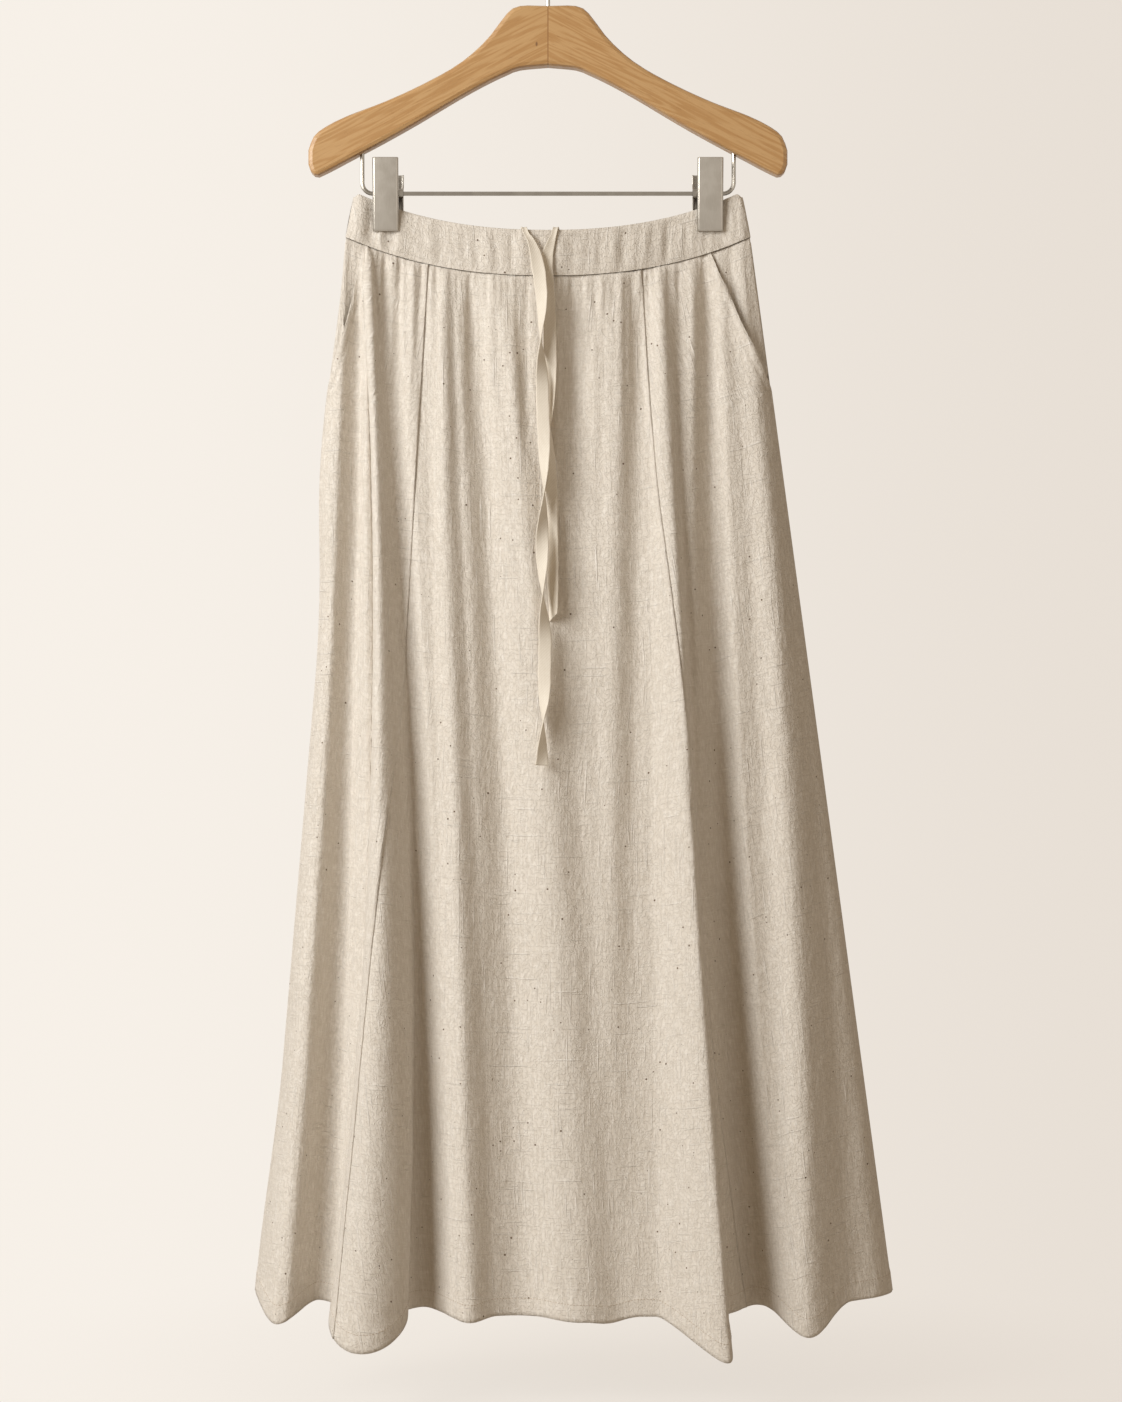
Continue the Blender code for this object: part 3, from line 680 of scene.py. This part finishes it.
def tinyPleats(x, level, seed):
    rng = np.random.default_rng(seed)
    height = np.zeros_like(x)
    place = -190.0
    while place < 190:
        wide = rng.uniform(2.2, 3.6)
        tall = rng.uniform(-1, 1) * mix(0.5, 1.0, abs(place) / 190)
        reach = detail["tinyPleatShare"] * rng.uniform(0.5, 1.5)
        drift = rng.uniform(-3, 3) * level / reach
        height += bell((x - place - drift) / wide) * tall * np.exp(-((level / reach) ** 1.5))
        place += rng.uniform(3.0, 6.5)
    return height * detail["tinyPleats"] * smooth(-0.002, 0.003, level)


def clothHeight(x, level, onBack):
    height = gathersAt(x, level, backGathers() if onBack else frontGathers)
    height += tinyPleats(x, level, 23 if onBack else 5)
    down = level * (skirt["seamHeight"] - skirt["hemHeight"])
    seed = 40 if onBack else 30
    height += detail["crumple"] * ripple(x, down, seed, 26, 3)
    height += detail["crinkle"] * ripple(x, down, seed + 1, 8, 2.5, 30)
    height += detail["crinkle"] * ripple(x, down, seed + 2, 14, 0.5, 20)
    return height


def gore(name, leftTurn, rightTurn, rows, columns, onBack, laps, gapes):
    # laps lift or sink the two edges at the seams, and gapes open them along the pocket mouths
    level = np.linspace(0, 1, rows) ** 1.12
    left, right = leftTurn(level), rightTurn(level)
    share = np.linspace(0, 1, columns)
    turn = left[:, None] + (right - left)[:, None] * share[None, :]
    level = np.broadcast_to(level[:, None], turn.shape)
    base = skirtForm(turn, level)
    normal = outward(base)
    calm = smooth(0.02, 0.3, np.abs(np.sin(math.tau * turn)))
    height = clothHeight(base[..., 0], level, onBack) * calm
    around = lengthsBetween(base, 1)
    down = lengthsBetween(base, 0)
    toLeft, toRight = around, around[:, -1:] - around
    for distance, lap in ((toLeft, laps[0]), (toRight, laps[1])):
        height += lap * detail["seamLap"] * (1 - smooth(0, detail["seamWidth"], distance))
        height -= detail["seamGroove"] * (lap > 0) * bell((distance - detail["seamWidth"]) / 3)
    mouth = np.sin(np.pi * np.clip(level / skirt["pocketEnd"], 0, 1))
    for distance, gape in ((toLeft, gapes[0]), (toRight, gapes[1])):
        height += gape * mouth * (1 - smooth(0, detail["mouthReach"], distance))
    fromHem = down[-1:, :] - down
    stitchWaves = ripple(around, around * 0, 77 + len(name), 9, 1, 12)
    hem = 1 - smooth(detail["hemFold"] - 1.2, detail["hemFold"], fromHem)
    height += detail["hemStep"] * hem
    height += detail["hemPucker"] * stitchWaves * np.exp(-(((fromHem - detail["hemFold"]) / 6) ** 2))
    height -= detail["waistTuck"] * (1 - smooth(0, detail["waistTuckShare"], level))
    calmEdges = np.maximum(smooth(0, 1.5, toLeft) * smooth(0, 1.5, toRight), detail["edgeCalm"])
    points = base + normal * (height * calmEdges)[..., None]
    middle = (left + right)[:, None] / 2
    start = skirtForm(middle, level[:, :1])[..., 0]
    uv = np.stack([around - around[:, -1:] / 2 + start.mean(), -down], axis=-1)
    piece = makeGrid(name, points, uv, linen, thickness=skirt["clothThickness"])
    return piece, points


def moved(turn, level, byMm):
    # a seam edge moved along the cloth, by half the gap between two pieces or to run under one
    return turn + byMm / (math.tau * halfWidth(level) * 0.8)


def atSeam(name, byMm):
    return lambda level: moved(seamTurn(name, level, name.startswith("back")), level, byMm)


def atSide(turn, byMm):
    return lambda level: moved(turn, level, byMm)


def atMouth(side):
    return lambda level: mouthTurn(side, level)


gap, under = skirt["seamGap"] / 2, detail["underlap"]
Panel = namedtuple("Panel", "left right rows columns onBack laps gapes")
panels = {
    "frontCentre": Panel(
        atSeam("frontLeft", -under), atSeam("frontRight", -gap), 276, 178, False, (-0.6, 1), (0, 0)
    ),
    "frontSideLeft": Panel(
        atMouth("left"), atSeam("frontLeft", -gap), 330, 110, False, (1, 1), (1.5, 0)
    ),
    "frontSideRight": Panel(
        atSeam("frontRight", -under), atMouth("right"), 330, 120, False, (-0.6, 1), (0, 4)
    ),
    "backCentre": Panel(
        atSeam("backRight", gap), atSeam("backLeft", -gap), 220, 130, True, (1, 1), (0, 0)
    ),
    "backSideRight": Panel(
        atSide(0.5, gap), atSeam("backRight", under), 220, 80, True, (0, -0.6), (0, 0)
    ),
    "backSideLeft": Panel(
        atSeam("backLeft", -under), atSide(1.0, -gap), 220, 70, True, (-0.6, 0), (0, 0)
    ),
}
gores = {name: gore(name, *panel) for name, panel in panels.items()}
for name, (piece, points) in gores.items():
    print(name, "triangles", len(piece.data.polygons) * 4, "flat size", flatSize(points))

waistband = {
    "topHalfWidth": 181,
    "top": -281,
    "thickness": 2.8,
    "pucker": 1.25,
    "fullness": 0.8,
    "crinkle": 0.12,
    "clipPull": 60,
    "clipLean": 7,
    "endDroop": 5,
    "proudHem": 0.9,
}


def bandForm(turn, level):
    angle = math.pi - math.tau * turn
    across, out = np.cos(angle), np.abs(np.sin(angle))
    front = np.where(np.sin(angle) >= 0, -1.0, 1.0)
    rise = skirt["waistRise"] * np.abs(across) ** skirt["risePower"]
    x = mix(waistband["topHalfWidth"], skirt["seamHalfWidth"], level) * across
    droop = waistband["endDroop"] * smooth(0.955, 1, np.abs(across)) ** 2 * (1 - level)
    z = mix(waistband["top"], skirt["seamHeight"] + skirt["seamGap"], level) + rise - droop
    return np.stack([x, front * waistDepth(across) * out**0.4, z], axis=-1)


def bandPuckers(x, level, seed):
    # soft upright puckers that lean in towards the clips
    rng = np.random.default_rng(seed)
    height = np.zeros_like(x)
    place = -186.0
    while place < 188:
        toClip = (math.copysign(skirt["clipOffset"], place) - place) / waistband["clipPull"]
        lean = waistband["clipLean"] * toClip * math.exp(-abs(toClip)) + rng.uniform(-2, 2)
        wide = rng.uniform(5, 9)
        tall = rng.uniform(0.5, 1.3) * (1 if rng.uniform() < 0.55 else -1)
        height += bell((x - place - lean * (1 - level)) / wide) * tall
        place += rng.uniform(8, 13)
    return height * waistband["pucker"]


def makeBand(name, first, last, seed):
    turn = np.linspace(first, last, 260)
    levels = 1 - np.linspace(0, 1, 25)
    thick = waistband["thickness"]
    outer = bandForm(*np.meshgrid(turn, levels))
    normal = outward(outer[::-1])[::-1]
    x = outer[..., 0]
    full = np.sin(np.pi * np.clip(levels, 0, 1)) ** 0.5
    height = bandPuckers(x, levels[:, None], seed) * full[:, None]
    height += waistband["fullness"] * (full[:, None] - 0.6)
    height += waistband["crinkle"] * ripple(x, outer[..., 2], seed + 1, 6, 2)
    height += waistband["proudHem"] * levels[:, None]
    height = height * np.clip(np.minimum(turn - first, last - turn) * 60, 0.2, 1)[None, :]
    face = outer + normal * height[..., None]
    corner = []  # the folded top edge of the band
    for step in np.linspace(0, math.pi, 7)[1:-1]:
        inwards = thick / 2 * (1 - math.cos(step))
        upwards = np.array([0, 0, 0.55 * thick / 2 * math.sin(step)])
        corner.append(face[-1] - normal[-1] * inwards + upwards)
    inner = outer[::-1][::3] - normal[::-1][::3] * thick
    points = np.concatenate([face, np.array(corner), inner, face[:1]])
    around = lengthsBetween(points, 1)
    down = lengthsBetween(points, 0)
    uv = np.stack([around - around[:, -1:] / 2, down], axis=-1)
    return makeGrid(name, points, uv, linen, flip=True), points


bands = {
    "waistbandFront": makeBand("waistbandFront", 0.0, 0.5, 61),
    "waistbandBack": makeBand("waistbandBack", 0.5, 1.0, 67),
}

pocket = {
    "lap": 14,
    "topInset": 1.9,
    "inset": 3.8,
    "sideInset": 0.5,
    "clearTurn": 0.0015,
}


def makePocket(name, side):
    end = skirt["pocketEnd"]
    inwards = 1 if side == "left" else -1
    level = np.linspace(0, end, 60)
    first = mouthTurn(side, np.minimum(level, end * 0.93))
    first += inwards * pocket["lap"] / (math.tau * halfWidth(level))
    edge = 0.0 if side == "left" else 0.5
    edge = edge + inwards * pocket["clearTurn"] * smooth(0, end / 2, level)
    share = np.linspace(0, 1, 46)
    turn = first[:, None] + (edge - first)[:, None] * share[None, :]
    level = np.broadcast_to(level[:, None], turn.shape)
    base = skirtForm(turn, level)
    if side == "left":
        base, share = base[:, ::-1], share[::-1]
    normal = outward(base)
    outer = mix(pocket["sideInset"], pocket["inset"], smooth(end * 0.86, end, level))
    inner = mix(pocket["topInset"], pocket["inset"], smooth(0, end / 2, level))
    inset = mix(inner, outer, smooth(0.5, 1, share)[None, :])
    calm = smooth(0.02, 0.3, np.abs(np.sin(math.tau * turn)))
    height = 0.6 * clothHeight(base[..., 0], level, False) * calm
    height = np.minimum(height, inset + 0.6)
    points = base + normal * (height - inset)[..., None]
    around, down = lengthsBetween(points, 1), lengthsBetween(points, 0)
    uv = np.stack([around + base[:, :1, 0], -down], axis=-1)
    return makeGrid(name, points, uv, linen, thickness=skirt["clothThickness"]), points


pockets = {
    "pocketLeft": makePocket("pocketLeft", "left"),
    "pocketRight": makePocket("pocketRight", "right"),
}
print("waistband and pockets made")

stitch = {
    "pitch": 2.9,
    "length": 2.0,
    "radius": 0.24,
    "lift": 0.1,
    "belowHemFold": 1.5,
    "sides": 6,
    # how far along a stitch, and its thickness there
    "profile": ((-0.5, 0.35), (-0.32, 0.95), (0.0, 1.0), (0.32, 0.95), (0.5, 0.35)),
}


def makeStitches(name, line, normals, material):
    # stitches stand along a line as small rounded rods
    reach = np.concatenate([[0], np.cumsum(np.linalg.norm(np.diff(line, axis=0), axis=1))])
    centres = np.arange(stitch["pitch"], reach[-1] - stitch["pitch"], stitch["pitch"])
    at = np.stack([np.interp(centres, reach, line[:, i]) for i in range(3)], axis=-1)
    ahead = np.stack([np.interp(centres + 0.5, reach, line[:, i]) for i in range(3)], axis=-1) - at
    ahead /= np.linalg.norm(ahead, axis=1, keepdims=True)
    up = np.stack([np.interp(centres, reach, normals[:, i]) for i in range(3)], axis=-1)
    side = np.cross(ahead, up)
    sides, radius = stitch["sides"], stitch["radius"]
    ring = [(math.cos(turn), math.sin(turn)) for turn in np.linspace(0, math.tau, sides + 1)[:-1]]
    vertices, faces = [], []
    for centre, a, u, s in zip(at, ahead, up, side):
        start = len(vertices)
        for along, size in stitch["profile"]:
            sink = 0.9 * radius * (2 * along) ** 4
            middle = centre + a * along * stitch["length"] + u * (stitch["lift"] - sink)
            for across, above in ring:
                vertices.append(middle + (s * across + u * above) * radius * size)
        for band in range(len(stitch["profile"]) - 1):
            for corner in range(sides):
                low, following = start + band * sides, (corner + 1) % sides
                high = low + sides
                faces.append((low + corner, low + following, high + following, high + corner))
        last = start + (len(stitch["profile"]) - 1) * sides
        faces.append([start + i for i in reversed(range(sides))])
        faces.append([last + i for i in range(sides)])
    mesh = bpy.data.meshes.new(name)
    mesh.from_pydata((np.array(vertices) * mm).tolist(), [], faces)
    mesh.polygons.foreach_set("use_smooth", np.ones(len(faces), dtype=bool))
    mesh.materials.append(material)
    piece = bpy.data.objects.new(name, mesh)
    bpy.context.collection.objects.link(piece)
    return piece


threadLook = {"dark": (0.40, 0.31, 0.22), "pale": (0.62, 0.52, 0.41)}


def makeThread():
    made, tree, shader = newMaterial("thread", Roughness=0.7, Sheen_Weight=0.1)
    place = addNode(tree, "ShaderNodeTexCoord").outputs["Object"]
    noise = stretched(tree, place, 900, 900, 2.0, 900)
    tree.links.new(blended(tree, noise, threadLook["dark"], threadLook["pale"]), shader.inputs["Base Color"])
    surfaceHeight(tree, shader, noise, 0.3, 0.0002)
    return made


thread = makeThread()
hemStitches = []
for name, (piece, points) in gores.items():
    fromHem = lengthsBetween(points, 0)
    fromHem = fromHem[-1:, :] - fromHem
    toRow = np.abs(fromHem.mean(axis=1) - detail["hemFold"] + stitch["belowHemFold"])
    row = int(np.argmin(toRow))
    hemStitches.append(makeStitches("hemStitches_" + name, points[row], outward(points)[row], thread))
hemStitches = joined("hemStitches", hemStitches)
print("hem stitched")

# across, outwards, height, twist in degrees, width
tapeRoutes = {
    "long": [
        (-24.5, -8.4, -292, 0, 5), (-23.6, -9.0, -285.5, 0, 5), (-23.0, -9.8, -280.4, 0, 5),
        (-22.3, -12.6, -278.3, 0, 5), (-21.4, -15.6, -280.4, 0, 5), (-19.4, -17.6, -285.5, 0, 5),
        (-14.5, -21.0, -294, -10, 8), (-9.6, -24.5, -313, 0, 12), (-5.5, -29.5, -345, 30, 12),
        (-6.0, -34.0, -384, 90, 12), (-5.1, -38.0, -426, 170, 12), (-3.6, -42.5, -480, 200, 12),
        (-3.4, -46.5, -525, 270, 12), (-5.2, -49.5, -566, 345, 12), (-4.4, -52.5, -614, 440, 12),
        (-2.6, -55.0, -660, 530, 12), (-3.2, -58.0, -704, 560, 12), (-4.4, -60.5, -736, 630, 12),
        (-5.6, -63.0, -775, 705, 12),
    ],
    "short": [
        (9.0, -8.4, -292, 0, 5), (8.4, -9.0, -285.5, 0, 5), (8.0, -9.8, -280.4, 0, 5),
        (7.5, -12.6, -278.3, 0, 5), (6.8, -15.6, -280.4, 0, 5), (5.4, -16.6, -285.5, 0, 5),
        (2.5, -17.4, -294, -10, 8), (-1.5, -18.4, -313, 0, 12), (1.0, -22.6, -345, -30, 12),
        (2.0, -27.0, -384, -10, 12), (2.4, -31.0, -434, 40, 12), (2.6, -35.5, -490, 130, 12),
        (3.0, -39.0, -540, 180, 12), (4.0, -42.5, -590, 200, 12), (5.0, -46.5, -640, 235, 12),
    ],
}
tape = {
    "thickness": 1.15,
    "step": 1.4,
    "flare": 0.6,
    "cup": 0.35,
    "slant": {"long": 0.0, "short": 3.5},
    # places across the tape, and its thickness there
    "places": (-1, -0.93, -0.8, -0.45, 0, 0.45, 0.8, 0.93, 1),
    "thickAt": (0.35, 1, 1, 0.72, 0.7, 0.72, 1, 1, 0.35),
}


def smoothRoute(points, step):
    values = [np.array(point, dtype=float) for point in points]
    padded = [2 * values[0] - values[1], *values, 2 * values[-1] - values[-2]]
    found = []
    for before, start, end, after in zip(padded, padded[1:], padded[2:], padded[3:]):
        count = max(2, round(np.linalg.norm(end[:3] - start[:3]) / step))
        for t in np.arange(0, 1, 1 / count):
            bend = (2 * before - 5 * start + 4 * end - after) * t * t
            twist = (3 * start - before - 3 * end + after) * t**3
            found.append(0.5 * (2 * start + (end - before) * t + bend + twist))
    return np.array([*found, values[-1]])


def makeTape(key):
    route = smoothRoute(tapeRoutes[key], tape["step"])
    line, turn, wide = route[:, :3], np.radians(route[:, 3]), route[:, 4]
    forward = np.gradient(line, axis=0)
    forward /= np.linalg.norm(forward, axis=1, keepdims=True)
    level = np.array([1.0, 0, 0]) - forward * forward[:, :1]
    level /= np.linalg.norm(level, axis=1, keepdims=True)
    other = np.cross(forward, level)
    flat = level * np.cos(turn)[:, None] + other * np.sin(turn)[:, None]
    face = np.cross(forward, flat)
    reach = np.concatenate([[0], np.cumsum(np.linalg.norm(np.diff(line, axis=0), axis=1))])
    fromEnd = reach[-1] - reach
    wide = wide + tape["flare"] * np.exp(-fromEnd / 3)
    rng = np.random.default_rng(len(key))
    edgeWave = 0.12 * np.sin(reach / 3.1 + rng.uniform(0, 6)) + 0.1 * np.sin(reach / 7.3)
    profile = list(zip(tape["places"], tape["thickAt"]))
    section = [(place, thick / 2) for place, thick in profile]
    section += [(place, -thick / 2) for place, thick in reversed(profile)]
    rows = []
    for across, up in section:
        bend = flat * (across * (wide / 2 + edgeWave * across))[:, None]
        slant = forward * (tape["slant"][key] * across * np.exp(-fromEnd / 2.5))[:, None]
        rise = up * tape["thickness"] + tape["cup"] * across * across
        rows.append(line + bend + slant + face * rise)
    points = np.stack(rows, axis=1)
    around = lengthsBetween(points, 1)
    uv = np.stack([around, np.broadcast_to(reach[:, None], around.shape)], axis=-1)
    piece = makeGrid("tape" + key.capitalize(), points, uv, tapeCloth, closed=True, flip=True)
    shape = bmesh.new()
    shape.from_mesh(piece.data)
    bmesh.ops.holes_fill(shape, edges=[edge for edge in shape.edges if edge.is_boundary], sides=0)
    bmesh.ops.recalc_face_normals(shape, faces=shape.faces)
    shape.to_mesh(piece.data)
    shape.free()
    return piece, line * mm, float(reach[-1]) * mm


tapes = {}
for key in tapeRoutes:
    piece, line, length = makeTape(key)
    tapes[key] = piece
    print("tape", key, "length", round(length, 4))

# the hanger keeps the shape of the CAD and takes its finish here
finishes = {
    "hanger_wood": beech,
    "hanger_hook": wireSteel,
    "hanger_bar": wireSteel,
}
for side in ("left", "right"):
    finishes["clip_" + side + "_front_plate"] = plateSteel
    finishes["clip_" + side + "_back_plate"] = plateSteel
    finishes["clip_" + side + "_spring"] = wireSteel
for node, finish in finishes.items():
    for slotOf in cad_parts[node].material_slots:
        slotOf.material = finish

clip = {
    "rim": 1.3,
    "steps": 4,
    "sharpest": 35,
}


def makePlate(name, node):
    # the pressed plate again, with its rim and bends rounded over
    piece = bpy.data.objects.new(name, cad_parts[node].data.copy())
    bpy.context.collection.objects.link(piece)
    weld = piece.modifiers.new("weld", "WELD")
    weld.merge_threshold = 0.00001
    rounded = piece.modifiers.new("rounded", "BEVEL")
    rounded.width = clip["rim"] * mm
    rounded.segments = clip["steps"]
    rounded.limit_method = "ANGLE"
    rounded.angle_limit = math.radians(clip["sharpest"])
    settle(piece)
    piece.data.polygons.foreach_set("use_smooth", np.ones(len(piece.data.polygons), dtype=bool))
    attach(piece, "root")
    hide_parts(node)


for side in ("left", "right"):
    for face in ("front", "back"):
        makePlate("clip" + side.capitalize() + "_" + face + "Plate", "clip_" + side + "_" + face + "_plate")
print("hanger finished")

rides = {
    "frontCentre": "front_centre",
    "frontSideLeft": "front_side_left",
    "frontSideRight": "front_side_right",
    "backCentre": "back_centre",
    "backSideLeft": "back_side_left",
    "backSideRight": "back_side_right",
    "waistbandFront": "waistband_front",
    "waistbandBack": "waistband_back",
    "pocketLeft": "pocket_left",
    "pocketRight": "pocket_right",
}
for name, (piece, points) in {**gores, **bands, **pockets}.items():
    settle(piece)
    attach(piece, "root")
    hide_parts(rides[name])
for key, node in (("long", "drawstring_long"), ("short", "drawstring_short")):
    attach(tapes[key], "root")
    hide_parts(node)
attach(hemStitches, "root")

stage = {
    "floor": -1.36,
    "size": 6.0,
    "clear": 0.1,
    "gone": 0.75,
    "shows": 0.14,
    "colour": (0.93, 0.88, 0.82),
}


def makeFloor():
    # the floor fades away into the pale surroundings
    bpy.ops.mesh.primitive_grid_add(x_subdivisions=8, y_subdivisions=8, size=stage["size"])
    floor = bpy.context.active_object
    floor.name = "floor"
    floor.location.z = stage["floor"]
    paper, tree, shader = newMaterial("floorPaper", Roughness=0.95)
    shader.inputs["Base Color"].default_value = (*stage["colour"], 1)
    away = addNode(tree, "ShaderNodeVectorMath", operation="LENGTH")
    tree.links.new(addNode(tree, "ShaderNodeTexCoord").outputs["Object"], away.inputs[0])
    shows = remap(tree, away.outputs["Value"], stage["clear"], stage["gone"], stage["shows"], 0.0)
    tree.links.new(shows, shader.inputs["Alpha"])
    floor.data.materials.append(paper)


lights = {
    "key": {
        "place": (-2.25, -1.85, 0.35),
        "aim": (0.0, 0.0, -0.75),
        "size": (1.8, 1.8),
        "watts": 99,
        "colour": (0.99, 1.0, 1.0),
    },
    "fill": {
        "place": (2.2, -2.6, -0.3),
        "aim": (0.0, 0.0, -0.8),
        "size": (2.0, 2.0),
        "watts": 9,
        "colour": (1.0, 0.95, 0.88),
    },
}


def makeLight(name, values):
    lamp = bpy.data.lights.new(name, "AREA")
    lamp.shape = "RECTANGLE"
    lamp.size, lamp.size_y = values["size"]
    lamp.energy = values["watts"]
    lamp.color = values["colour"]
    holder = bpy.data.objects.new(name, lamp)
    bpy.context.collection.objects.link(holder)
    holder.location = values["place"]
    towards = Vector(values["aim"]) - Vector(values["place"])
    holder.rotation_euler = towards.to_track_quat("-Z", "Y").to_euler()


# the paper's colours as the camera sees it: the darker right one is painted shade
surroundings = {
    "left": (0.930, 0.875, 0.808),
    "right": (0.80, 0.735, 0.665),
    "shade": (1.0, 0.79, 0.57),
    "lit": 0.29,
}


def makeSurroundings():
    # pale paper to look at, with painted shade that darkens it towards the right, and a dimmer and warmer
    # light from all round
    world = bpy.data.worlds.new("studio")
    bpy.context.scene.world = world
    world.use_nodes = True
    tree = world.node_tree
    facing = addNode(tree, "ShaderNodeSeparateXYZ")
    tree.links.new(addNode(tree, "ShaderNodeTexCoord").outputs["Generated"], facing.inputs[0])
    toRight = remap(tree, facing.outputs[0], -0.16, 0.2)
    paperWithPaintedShade = blended(tree, toRight, surroundings["left"], surroundings["right"])
    rays = addNode(tree, "ShaderNodeLightPath")
    toCamera = maths(tree, "MAXIMUM", rays.outputs["Is Camera Ray"], rays.outputs["Is Glossy Ray"])
    background = tree.nodes["Background"]
    tree.links.new(blended(tree, toCamera, surroundings["shade"], paperWithPaintedShade), background.inputs["Color"])
    tree.links.new(remap(tree, toCamera, 0, 1, surroundings["lit"], 1.0), background.inputs["Strength"])


eye = {"place": (0.0121, -3.2, -0.7163), "lens": 88.45, "sensor": 36}


def makeCamera():
    camera = bpy.data.objects.new("camera", bpy.data.cameras.new("camera"))
    bpy.context.collection.objects.link(camera)
    camera.location = eye["place"]
    camera.rotation_euler = (math.radians(90), 0, 0)
    camera.data.sensor_width = eye["sensor"]
    camera.data.lens = eye["lens"]
    camera.data.clip_end = 50
    bpy.context.scene.camera = camera


makeFloor()
for name, values in lights.items():
    makeLight(name, values)
makeSurroundings()
makeCamera()
bpy.context.scene.view_settings.view_transform = "Standard"

bpy.context.view_layer.update()
print("scene ready")
